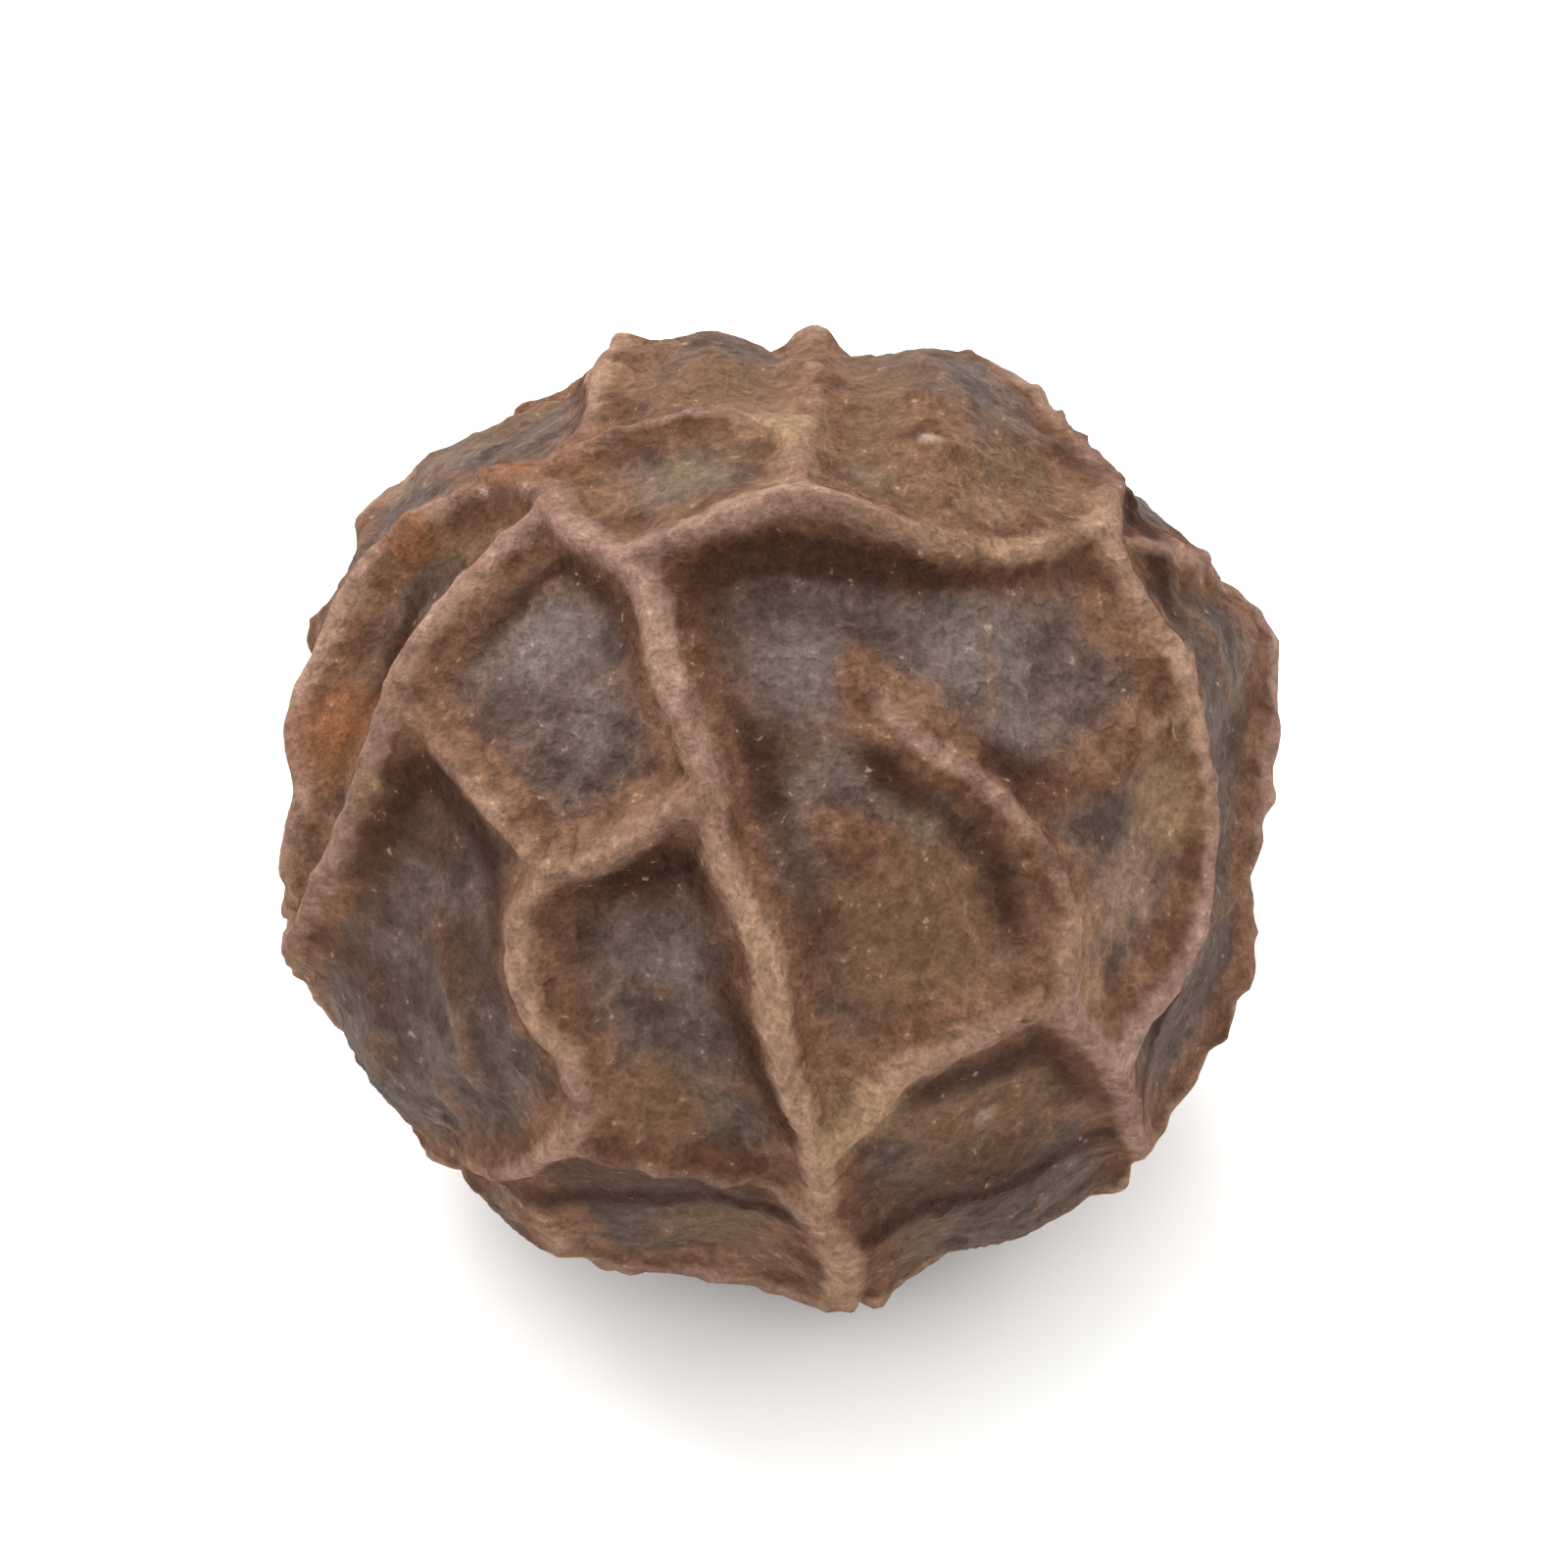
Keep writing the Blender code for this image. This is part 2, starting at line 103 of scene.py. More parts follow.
# Ridges of the seen side: millimetres right and up of the middle, share of full height
SEEN_RIDGES = {
    "long": (
        (-1.47, 1.83, 0.90),
        (-1.11, 1.58, 1.00),
        (-0.81, 1.31, 1.00),
        (-0.61, 0.85, 1.00),
        (-0.45, 0.27, 1.00),
        (-0.27, -0.27, 1.00),
        (0.00, -0.88, 1.00),
        (0.19, -1.55, 1.00),
        (0.22, -2.10, 1.00),
        (0.25, -2.60, 0.80),
        (0.27, -3.14, 0.30),
    ),
    "left": (
        (-1.19, 1.65, 0.90),
        (-1.54, 1.34, 0.90),
        (-1.79, 0.97, 1.00),
        (-1.98, 0.50, 1.00),
        (-2.21, 0.08, 1.00),
        (-2.41, -0.39, 1.00),
        (-2.62, -0.74, 0.90),
        (-3.05, -0.93, 0.30),
    ),
    "left rim": (
        (-1.38, 1.79, 0.70),
        (-1.85, 1.56, 0.80),
        (-2.17, 1.23, 0.80),
        (-2.39, 0.74, 0.80),
        (-2.48, 0.19, 0.80),
        (-2.56, -0.43, 0.80),
    ),
    "heart foot": (
        (-1.92, 0.54, 0.50),
        (-1.58, 0.12, 0.60),
        (-1.19, -0.22, 0.80),
        (-0.80, -0.09, 0.85),
        (-0.43, 0.13, 0.90),
    ),
    "low middle": (
        (-1.19, -0.22, 0.80),
        (-1.42, -0.50, 0.85),
        (-1.38, -0.88, 0.85),
        (-1.21, -1.20, 0.80),
        (-1.12, -1.55, 0.75),
        (-1.23, -1.79, 0.70),
        (-1.54, -1.90, 0.60),
        (-1.81, -2.10, 0.50),
        (-2.16, -2.41, 0.20),
    ),
    "low edge": (
        (-1.23, -1.77, 0.60),
        (-0.84, -1.89, 0.60),
        (-0.37, -1.92, 0.60),
        (-0.02, -1.96, 0.60),
        (0.22, -2.13, 0.70),
    ),
    "under left": (
        (-1.38, -2.04, 0.50),
        (-0.84, -2.48, 0.80),
        (-0.37, -2.62, 0.80),
        (0.25, -2.65, 0.90),
    ),
    "low right": (
        (0.19, -1.69, 0.90),
        (0.48, -1.51, 1.00),
        (0.71, -1.28, 1.00),
        (0.99, -1.13, 1.00),
        (1.28, -1.02, 1.00),
        (1.51, -1.07, 1.00),
        (1.72, -1.27, 1.00),
        (1.80, -1.55, 0.90),
        (1.92, -1.86, 0.80),
        (2.27, -2.25, 0.30),
    ),
    "diagonal": (
        (0.31, 1.05, 0.15),
        (0.52, 0.74, 0.55),
        (0.79, 0.44, 0.70),
        (1.09, 0.17, 0.70),
        (1.32, -0.16, 0.65),
        (1.47, -0.50, 0.65),
        (1.49, -0.81, 0.75),
        (1.51, -1.07, 0.90),
    ),
    "top": (
        (-0.79, 1.29, 1.00),
        (-0.41, 1.41, 1.15),
        (0.03, 1.57, 1.30),
        (0.48, 1.53, 1.35),
        (0.91, 1.53, 1.35),
        (1.30, 1.55, 1.25),
        (1.67, 1.61, 1.05),
    ),
    "right": (
        (0.91, 2.99, 0.30),
        (1.05, 2.64, 0.60),
        (1.37, 2.21, 0.80),
        (1.67, 1.61, 1.00),
        (1.82, 1.27, 1.00),
        (2.02, 0.91, 1.00),
        (2.19, 0.50, 1.00),
        (2.28, 0.08, 0.90),
        (2.24, -0.39, 0.80),
        (2.06, -0.76, 0.80),
        (1.87, -1.05, 0.80),
        (1.75, -1.28, 1.00),
    ),
    "right rim": (
        (1.84, 1.55, 0.60),
        (2.27, 1.33, 0.80),
        (2.64, 1.09, 1.00),
        (2.73, 0.70, 0.90),
        (2.65, 0.27, 0.80),
        (2.59, -0.27, 0.70),
        (2.57, -0.70, 0.80),
        (2.34, -1.20, 0.60),
        (1.92, -1.79, 0.80),
    ),
    "faint right": (
        (1.09, 0.08, 0.30),
        (1.41, 0.13, 0.40),
        (1.72, 0.29, 0.45),
        (2.07, 0.54, 0.60),
    ),
    "crown": (
        (-1.34, 1.82, 0.80),
        (-1.03, 1.99, 0.70),
        (-0.57, 2.07, 0.60),
        (-0.20, 2.09, 0.60),
        (0.01, 1.94, 0.70),
        (0.05, 1.59, 0.90),
    ),
    "crown left": (
        (-1.27, 1.89, 0.70),
        (-1.03, 2.17, 0.65),
        (-0.78, 2.55, 0.60),
        (-0.64, 2.99, 0.30),
    ),
    "crown right": (
        (0.01, 1.96, 0.60),
        (0.09, 2.29, 0.50),
        (0.09, 2.63, 0.45),
        (0.09, 3.07, 0.25),
    ),
    "lump": (
        (0.13, 0.08, 0.15),
        (0.43, -0.14, 0.45),
        (0.75, -0.47, 0.15),
    ),
    "knob": (
        (0.58, 2.29, 0.30),
        (0.71, 2.02, 0.50),
        (0.75, 1.75, 0.30),
    ),
}

# Broad rises and dips of the seen side: millimetres right and up, height, width
SEEN_SWELLS = {
    "crown left": (-0.37, 1.75, 0.08, 0.50),
    "crown right": (0.87, 1.98, 0.08, 0.60),
    "upper right": (0.87, 0.89, -0.12, 0.75),
    "heart right": (0.02, 0.81, -0.06, 0.50),
    "heart left": (-1.23, 0.66, -0.02, 0.60),
    "low middle": (-0.76, -0.81, -0.07, 0.60),
    "low left": (-1.92, -0.43, -0.06, 0.50),
    "mid right": (0.71, -0.50, -0.04, 0.60),
    "low right": (1.18, -1.51, -0.04, 0.50),
    "foot left": (-0.53, -2.21, -0.06, 0.50),
    "low right rim": (2.27, -1.05, -0.06, 0.50),
    "upper right rim": (1.72, 2.06, -0.04, 0.50),
    "left rim": (-2.20, 0.93, -0.05, 0.40),
}

# Outline of the seen side: degrees anticlockwise from the right, millimetres from the middle
OUTLINE = (
    (0.0, 2.58),
    (10.0, 2.65),
    (22.0, 2.81),
    (31.0, 2.66),
    (42.0, 2.77),
    (52.0, 2.69),
    (63.0, 2.80),
    (73.0, 2.80),
    (82.0, 2.64),
    (90.0, 2.65),
    (98.0, 2.88),
    (106.0, 2.79),
    (116.0, 2.70),
    (126.0, 2.80),
    (136.0, 2.86),
    (152.0, 2.84),
    (166.0, 2.78),
    (177.0, 2.63),
    (190.0, 2.68),
    (203.0, 2.84),
    (215.0, 2.85),
    (225.0, 2.65),
    (236.0, 2.84),
    (248.0, 2.68),
    (262.0, 2.52),
    (277.0, 2.68),
    (288.0, 2.72),
    (298.0, 2.84),
    (308.0, 2.74),
    (318.0, 2.57),
    (330.0, 2.61),
    (342.0, 2.66),
    (352.0, 2.54),
)
RIM_BAND = 0.40

# Hollows just behind the rim: degrees anticlockwise from the right
RIM_HOLLOWS = (-97.0, -120.0, -149.0, 172.0, 128.0, 97.0, 78.0, 45.0, 4.0, -30.0, -64.0)
RIM_HOLLOW_REACH = 2.95

# Hollows of the far side: the shake of their places, and how far apart two that share a
# ridge can be, are shares of the radius. They keep clear of the placed ones, in
# millimetres, and the limit and the fade are the cosine of the angle to the viewer.
SPIRAL_HOLLOWS = 46
SPIRAL_SHAKE = 0.08
CLEAR_OF_PLACED = 0.95
FAR_SIDE_LIMIT = -0.10
FAR_SIDE_FADE = (-0.15, 0.15)
FURTHEST_NEIGHBOUR = 1.2

# Small folds that cross the hollows, between cells as above: below 0 a fold's share of the
# height is none, the width is a share of a ridge's, and the height is in millimetres
SMALL_CELLS = 150
SMALL_SHAKE = 0.05
SMALL_LOWEST = -0.4
SMALL_FURTHEST = 0.55
SMALL_WIDTH = 0.7
SMALL_HEIGHT = 0.07

# Scar where the fruit sat on its spike, on the far side, in millimetres
SCAR_DIRECTION = (-0.42, 0.86, 0.29)
SCAR_RIM_RADIUS = 0.40
SCAR_RIM_WIDTH = 0.10
SCAR_RIM_HEIGHT = 0.20
SCAR_POINT_RADIUS = 0.09
SCAR_POINT_HEIGHT = 0.13
SCAR_CLEARING = (0.50, 0.85)

# Over the resting spot the hollows are shallower, in millimetres from its middle
FOOT_CLEARING = (0.95, 1.70)
FOOT_SHARE = 0.05

SEED = 11

# Patches of the seen side's colour: millimetres right and up, width, strength
SEEN_PATCHES = {
    "brown": (
        (0.00, 2.30, 0.90, 1.0),
        (0.75, 1.85, 0.50, 1.0),
        (1.30, 1.95, 0.45, 1.0),
        (-1.60, 1.75, 0.60, 0.9),
        (-2.25, 0.60, 0.45, 1.0),
        (2.20, 0.10, 0.50, 1.0),
        (2.50, 0.90, 0.45, 0.8),
        (0.72, -0.60, 0.62, 1.0),
        (1.20, -1.60, 0.60, 0.9),
        (-0.75, -1.60, 0.35, 0.9),
        (0.10, -2.50, 0.90, 0.8),
        (-1.35, -0.20, 0.30, 0.7),
        (-1.50, 2.50, 0.60, 0.9),
        (-2.60, 1.40, 0.50, 0.9),
        (1.60, 2.40, 0.60, 0.8),
        (2.75, 0.20, 0.45, 0.7),
        (2.60, -1.10, 0.40, 0.4),
    ),
    "tan": (
        (1.75, -0.50, 0.36, 0.9),
        (1.62, -0.95, 0.26, 0.7),
        (2.20, 0.50, 0.28, 0.8),
        (-0.20, 2.15, 0.34, 0.7),
        (1.05, 1.72, 0.24, 0.6),
        (-0.05, 1.72, 0.20, 0.7),
        (-1.75, 1.62, 0.26, 0.6),
        (0.90, -1.45, 0.20, 0.5),
    ),
    # Grey-mauve of the hollows: partly bloom, partly a painted sheen of the bright surround
    "bloom_and_sheen": (
        (-1.30, 0.82, 0.34, 1.0),
        (-1.05, 0.42, 0.20, 0.8),
        (0.10, 0.88, 0.26, 0.8),
        (1.10, 0.98, 0.42, 0.9),
        (1.20, 0.58, 0.26, 0.8),
        (-1.60, -1.30, 0.24, 0.4),
        (-0.66, -0.82, 0.26, 0.7),
        (0.40, -0.14, 0.18, 0.6),
    ),
    "olive": (
        (-0.52, 1.72, 0.34, 0.9),
        (0.42, 1.90, 0.16, 0.9),
        (0.79, -0.10, 0.16, 0.8),
        (0.15, 0.30, 0.20, 0.5),
        (-0.42, -1.62, 0.25, 0.6),
        (2.45, 0.85, 0.30, 0.6),
    ),
    "straw": (
        (0.45, -1.58, 0.28, 1.0),
        (2.10, 0.05, 0.36, 0.9),
        (-2.15, 0.20, 0.25, 0.6),
        (-0.05, 2.05, 0.28, 0.7),
    ),
    "rust": (
        (-1.30, 1.90, 0.40, 0.7),
        (-1.88, 1.50, 0.20, 1.0),
        (-2.35, 0.50, 0.35, 0.8),
        (1.20, 2.25, 0.35, 0.5),
    ),
    "umber": (
        (-1.92, -0.04, 0.26, 1.2),
        (-2.30, -0.95, 0.30, 1.1),
        (-1.85, -0.80, 0.40, 0.8),
        (-2.16, 0.89, 0.20, 0.8),
        (-0.80, -0.40, 0.24, 0.8),
        (-0.37, -2.06, 0.42, 1.1),
        (-0.95, -2.05, 0.42, 1.1),
        (0.56, -2.13, 0.32, 1.0),
        (1.05, -2.00, 0.45, 1.0),
        (2.20, -0.97, 0.28, 1.0),
        (0.22, -0.60, 0.26, 0.7),
        (0.60, 0.28, 0.14, 1.0),
        (1.28, 0.18, 0.14, 1.0),
        (-0.05, 0.42, 0.26, 0.8),
        (1.68, 1.85, 0.24, 0.8),
    ),
    "pink": (
        (0.40, 0.80, 0.24, 1.0),
        (0.72, 0.48, 0.26, 1.0),
        (1.05, 0.18, 0.24, 0.9),
        (1.35, -0.15, 0.24, 0.9),
        (-1.15, -1.44, 0.26, 0.8),
        (1.80, 1.45, 0.24, 0.7),
        (1.85, -1.30, 0.22, 0.7),
    ),
    "pale": (
        (0.69, 2.05, 0.12, 0.8),
        (1.10, -1.60, 0.16, 0.6),
        (0.40, -0.14, 0.16, 0.5),
    ),
}

# Painted shade of the seen side, dark lines along the creases under its ridges: millimetres right
# and up of the middle, strength
SEEN_PAINTED_SHADE = {
    "under the top": (
        (-0.52, 0.95, 0.50),
        (-0.42, 1.18, 1.00),
        (-0.05, 1.33, 1.00),
        (0.40, 1.36, 1.00),
        (0.80, 1.36, 0.80),
        (1.20, 1.39, 0.50),
        (1.55, 1.42, 0.40),
    ),
    "right of the long": (
        (-0.42, 1.10, 0.60),
        (-0.36, 0.72, 0.35),
        (-0.20, 0.40, 0.80),
        (-0.08, 0.12, 0.80),
        (0.10, -0.20, 0.40),
        (0.25, -0.60, 0.30),
    ),
    "left of the long": (
        (-0.52, -0.45, 0.20),
        (-0.28, -0.85, 0.60),
        (-0.08, -1.20, 0.80),
        (0.04, -1.55, 0.60),
    ),
    "low middle's top": (
        (-1.18, -0.75, 0.40),
        (-1.10, -0.45, 0.60),
        (-0.80, -0.30, 0.90),
        (-0.54, -0.28, 0.90),
        (-0.42, -0.55, 0.40),
    ),
    "low left's top": (
        (-2.25, -0.30, 0.60),
        (-2.08, 0.05, 0.80),
        (-1.90, 0.22, 1.00),
        (-1.70, -0.05, 1.00),
        (-1.62, -0.50, 0.60),
        (-1.60, -1.00, 0.50),
    ),
    "left strip": (
        (-1.90, 1.35, 0.40),
        (-2.10, 1.00, 0.90),
        (-2.27, 0.60, 0.70),
        (-2.40, 0.10, 0.40),
    ),
    "heart left's top": (
        (-1.72, 0.75, 0.40),
        (-1.45, 1.12, 0.70),
        (-1.18, 1.32, 0.80),
        (-0.92, 1.05, 0.60),
        (-0.78, 0.70, 0.40),
    ),
    "diagonal's foot": (
        (0.40, 0.45, 0.40),
        (0.62, 0.22, 0.90),
        (0.88, -0.05, 0.60),
        (1.12, -0.36, 0.80),
        (1.28, -0.70, 0.40),
    ),
    "right of the diagonal": (
        (1.05, 0.52, 0.30),
        (1.24, 0.30, 0.80),
        (1.55, 0.20, 0.40),
    ),
    "under the arch": (
        (0.45, -1.78, 0.40),
        (0.72, -1.50, 0.70),
        (1.05, -1.33, 0.80),
        (1.40, -1.24, 0.70),
        (1.60, -1.50, 0.60),
    ),
    "bottom left": (
        (-1.45, -2.02, 0.50),
        (-0.85, -2.25, 0.90),
        (-0.35, -2.22, 0.90),
        (0.06, -2.15, 0.80),
    ),
    "bottom right": (
        (0.42, -2.25, 0.80),
        (0.85, -2.12, 0.90),
        (1.35, -1.98, 0.80),
        (1.75, -1.72, 0.70),
    ),
    "right rim": (
        (1.98, -1.55, 0.60),
        (2.18, -1.05, 1.00),
        (2.35, -0.60, 0.50),
    ),
    "upper right rim": (
        (1.40, 2.10, 0.60),
        (1.78, 1.78, 0.90),
        (1.98, 1.45, 0.90),
        (2.12, 1.15, 0.50),
    ),
}
# Width of the painted shade lines, in millimetres
PAINTED_SHADE_WIDTH = 0.13

# How much more a low ridge is rubbed than its share of height says
WORN_SHARE = 1.35

# Fine relief that the skin adds to the solid's form, in millimetres
PUCKER_HEIGHT = 0.040
PUCKER_ROUNDING = 0.015
PUCKER_SPREAD = 0.045
PLEAT_HEIGHT = 0.016
PLEAT_LENGTH = 0.34
CREASE_HEIGHT = 0.020
WRINKLE_HEIGHT = 0.010
GRAIN_HEIGHT = 0.0025
FINE_MEAN = 0.014

# Fine relief, as shares, plain numbers and waves as above
PUCKER_SEED = 5
PUCKER_COUNT = 260
PUCKER_SHAKE = 0.03
PUCKER_LEAST = 0.35
PUCKERED_WAVES = (8, 4.0, 8.0)
PUCKERED_FADE = (-0.6, 0.8)
PLEAT_SHIFT = np.array((-17.0, 8.0, 11.0))
PLEAT_LEAST = 0.3
PLEATED_WAVES = (8, 3.0, 7.0)
PLEATED_FADE = (-0.5, 0.7)
SLOPE_START = (0.10, 0.30)
SLOPE_END = (0.72, 0.96)
CREASE_SHARPNESS = 1.6
CREASE_WAVES = (14, 16.0, 34.0)
WRINKLE_WAVES = (20, 45.0, 80.0)
WRINKLE_CLEARING = 0.6
GRAIN_WAVES = (30, 90.0, 150.0)
RAISED_SHARES = (0.6, 0.4, 0.3)

# Edge of the seen side's colours, as the cosine of the angle to the viewer
SEEN_FADE = (-0.25, 0.15)

# Squares along each side of the six grids that make the ball
GRID = 128


def unit(vectors):
    """Vectors scaled to length one."""
    return vectors / np.linalg.norm(vectors, axis=-1, keepdims=True)


def smooth_step(values, low, high):
    """0 below low, 1 above high, and a smooth rise between them."""
    t = np.clip((values - low) / (high - low), 0.0, 1.0)
    return t * t * (3.0 - 2.0 * t)


def view_axes():
    """Right, up and toward the viewer, as the seen side is looked at."""
    tilt = math.radians(VIEW_ELEVATION)
    right = np.array((1.0, 0.0, 0.0))
    up = np.array((0.0, math.sin(tilt), math.cos(tilt)))
    toward = np.array((0.0, -math.cos(tilt), math.sin(tilt)))
    return right, up, toward


def seen_direction(right_mm, up_mm):
    """Direction of a point of the body seen right_mm and up_mm from its middle.

    A point further out than the rim lies behind it, as far as it is outside it.
    """
    right, up, toward = view_axes()
    away = math.hypot(right_mm, up_mm)
    if away == 0.0:
        return toward
    if away < CREST_RADIUS:
        turn = math.asin(away / CREST_RADIUS)
    else:
        turn = math.pi / 2.0 + away / CREST_RADIUS - 1.0
    outward = (right_mm * right + up_mm * up) / away
    return toward * math.cos(turn) + outward * math.sin(turn)


def smooth_line(rows):
    """Catmull-Rom curve through all the rows but the first and last, a few steps to a span."""
    t = (np.arange(STEPS_TO_A_SPAN) / STEPS_TO_A_SPAN)[:, None]
    spans = []
    for a, b, c, d in zip(rows, rows[1:], rows[2:], rows[3:]):
        bent = (c - a) * t + (2.0 * a - 5.0 * b + 4.0 * c - d) * t**2
        spans.append(b + 0.5 * (bent + (3.0 * b - a - 3.0 * c + d) * t**3))
    return np.vstack((*spans, rows[-2:-1]))


def ridge_line(points):
    """Places on the ball and height shares along the smooth line through the points."""
    rows = np.array([(*seen_direction(right, up), share) for right, up, share in points])
    line = smooth_line(np.vstack((2.0 * rows[0] - rows[1], rows, 2.0 * rows[-1] - rows[-2])))
    return unit(line[:, :3]), line[:, 3]


def ridge_profile(distance):
    """1 on a crest: it falls off exponentially, steeply and then as a wide skirt."""
    rounded = np.sqrt(distance**2 + CREST_ROUNDING**2) - CREST_ROUNDING
    steep = (1.0 - SKIRT_SHARE) * np.exp(-rounded / RIDGE_SPREAD)
    return steep + SKIRT_SHARE * np.exp(-rounded / SKIRT_SPREAD)


def nearest_part(directions, points):
    """Millimetres to the smooth line through the points, and there its share of height and
    the millimetres from its start."""
    places, shares = ridge_line(points)
    start = 0.0
    nearest = np.full(len(directions), np.inf)
    share = np.zeros(len(directions))
    along = np.zeros(len(directions))
    for k in range(len(places) - 1):
        step = places[k + 1] - places[k]
        t = np.clip((directions - places[k]) @ step / (step @ step), 0.0, 1.0)
        away = np.linalg.norm(directions - places[k] - t[:, None] * step, axis=1)
        closer = away < nearest
        nearest[closer] = away[closer]
        share[closer] = (shares[k] + (shares[k + 1] - shares[k]) * t)[closer]
        along[closer] = (start + np.linalg.norm(step) * t)[closer]
        start += np.linalg.norm(step)
    return nearest * CREST_RADIUS, share, along * CREST_RADIUS


def seen_net(directions):
    """The seen ridges' heights, by the distance to the nearest part of each line, raised
    to the power of RIDGE_JOINING and added.

    In the second sum low ridges count for more, and none counts for more than a full one.
    The third has each ridge's height times its pleats' wave.
    """
    total = np.zeros(len(directions))
    worn = np.zeros(len(directions))
    waves = np.zeros(len(directions))
    shift = pleat_shift(directions)
    for points in SEEN_RIDGES.values():
        nearest, share, along = nearest_part(directions, points)
        profile = ridge_profile(nearest)
        height = (share * profile) ** RIDGE_JOINING
        total += height
        worn += (np.minimum(WORN_SHARE * share, 1.0) * profile) ** RIDGE_JOINING
        waves += height * pleat_wave(along, shift)
    return total, worn, waves


def pleat_shift(directions):
    """Smooth shift of the pleats along their ridges, in radians."""
    return np.sin(directions @ PLEAT_SHIFT) + np.sin(directions[:, ::-1] @ PLEAT_SHIFT)


def pleat_wave(along, shift):
    """1 on a pleat and -1 between two, by the millimetres along the ridge."""
    return np.cos(2.0 * math.pi * along / PLEAT_LENGTH + shift)


def cell_net(directions, centres, shares, furthest, width):
    """Ridges between scattered centres, raised to the power of RIDGE_JOINING and added, and
    the same times their pleats' wave.

    A direction's score for a centre is how much it faces it. The crest between two
    centres lies where their scores are equal, and the distance to it is the difference
    of the scores over the distance between the centres. The height falls off where a
    third centre scores more than both, and is left out where it comes to nothing.
    """
    score = directions @ centres.T
    best = score.max(axis=1)
    total = np.zeros(len(directions))
    waves = np.zeros(len(directions))
    shift = pleat_shift(directions)
    overrun = RIDGE_OVERRUN * width / CREST_RADIUS
    for first in range(len(centres)):
        for second in range(first):
            apart = np.linalg.norm(centres[first] - centres[second])
            if apart > furthest:
                continue
            beyond = best - np.maximum(score[:, first], score[:, second])
            near = np.flatnonzero(beyond < NOTHING_LEFT * overrun)
            gap = np.abs(score[near, first] - score[near, second]) / apart
            distance = np.arcsin(np.minimum(gap, 1.0)) * CREST_RADIUS
            height = shares[first, second] * ridge_profile(distance / width)
            height = (height * np.exp(-beyond[near] / overrun)) ** RIDGE_JOINING
            total[near] += height
            along = directions[near] @ unit(np.cross(centres[first], centres[second]))
            waves[near] += height * pleat_wave(along * CREST_RADIUS, shift[near])
    return total, waves


def spiral_directions(rng, count, shake):
    """Even points on the ball along a golden-angle spiral, each shaken a little."""
    turn = math.pi * (3.0 - math.sqrt(5.0))
    k = np.arange(count)
    z = 1.0 - (2.0 * k + 1.0) / count
    ring = np.sqrt(1.0 - z * z)
    points = np.stack((ring * np.cos(k * turn), ring * np.sin(k * turn), z), axis=1)
    return unit(points + rng.normal(0.0, shake, points.shape))


def far_hollows(rng):
    """Centres of the hollows behind the rim, of the scar and of the far side's spiral."""
    placed = [np.array(SCAR_DIRECTION)]
    for degrees in RIM_HOLLOWS:
        across = RIM_HOLLOW_REACH * math.cos(math.radians(degrees))
        placed.append(seen_direction(across, RIM_HOLLOW_REACH * math.sin(math.radians(degrees))))
    placed = unit(np.array(placed))
    spiral = spiral_directions(rng, SPIRAL_HOLLOWS, SPIRAL_SHAKE)
    nearest = np.arccos(np.clip(spiral @ placed.T, -1.0, 1.0)).min(axis=1)
    facing = spiral @ view_axes()[2]
    kept = (nearest * CREST_RADIUS > CLEAR_OF_PLACED) & (facing < FAR_SIDE_LIMIT)
    return np.vstack((placed, spiral[kept]))


def make_waves(rng, count, slowest, fastest):
    """Random wave directions, each as long as its waves per radian, and phases."""
    heading = unit(rng.normal(size=(count, 3)))
    rate = rng.uniform(slowest, fastest, (count, 1))
    return heading * rate, rng.uniform(0.0, 2.0 * math.pi, count)


def ripple(directions, waves):
    """Smooth random field of about -1 to 1: the scaled sum of the waves' cosines."""
    headings, phases = waves
    return np.cos(directions @ headings.T + phases).sum(axis=1) / math.sqrt(len(phases) / 2.0)


def bend(directions, rng):
    """Shifts each direction a little, so that the ridges wander and wobble."""
    shift = np.zeros_like(directions)
    for size, waves in ((WANDER, WANDER_WAVES), (WOBBLE, WOBBLE_WAVES)):
        for axis in range(3):
            shift[:, axis] += size * ripple(directions, make_waves(rng, *waves))
    return unit(directions + shift / CREST_RADIUS)


def ridge_net(directions, centres):
    """0 on the hollows' floors and 1 on the crests: the seen ridges, and behind the rim the
    far side's, joined as a smooth maximum. The second net is the one that colour follows,
    and the third value is the wave of the pleats of the ridge that is highest here."""
    even = np.ones((len(centres), len(centres)))
    far, far_waves = cell_net(directions, centres, even, FURTHEST_NEIGHBOUR, 1.0)
    fading = (1.0 - smooth_step(directions @ view_axes()[2], *FAR_SIDE_FADE)) ** RIDGE_JOINING
    total, worn, waves = seen_net(directions)
    total += far * fading
    worn += far * fading
    waves += far_waves * fading
    return total ** (1.0 / RIDGE_JOINING), worn ** (1.0 / RIDGE_JOINING), waves / total


def small_folds(directions, rng):
    """0 to 1: a finer, weaker net of folds, of which many are low or missing."""
    centres = spiral_directions(rng, SMALL_CELLS, SMALL_SHAKE)
    shares = np.maximum(rng.uniform(SMALL_LOWEST, 1.0, (SMALL_CELLS, SMALL_CELLS)), 0.0)
    folds, _ = cell_net(bend(directions, rng), centres, shares, SMALL_FURTHEST, SMALL_WIDTH)
    return folds ** (1.0 / RIDGE_JOINING)


def rim_share(directions):
    """1 on the rim of the seen side, fading to both sides of it."""
    return np.exp(-((directions @ view_axes()[2] / RIM_BAND) ** 2))


def outline_rise(directions):
    """Millimetres by which a smooth line through the outline's points stands out of the ball."""
    right, up, _ = view_axes()
    degrees = np.degrees(np.arctan2(directions @ up, directions @ right)) % 360.0
    rows = np.array(OUTLINE)
    turn = np.array((360.0, 0.0))
    line = smooth_line(np.vstack((rows[-2:] - turn, rows, rows[:2] + turn)))
    return np.interp(degrees, line[:, 0], line[:, 1]) - CREST_RADIUS


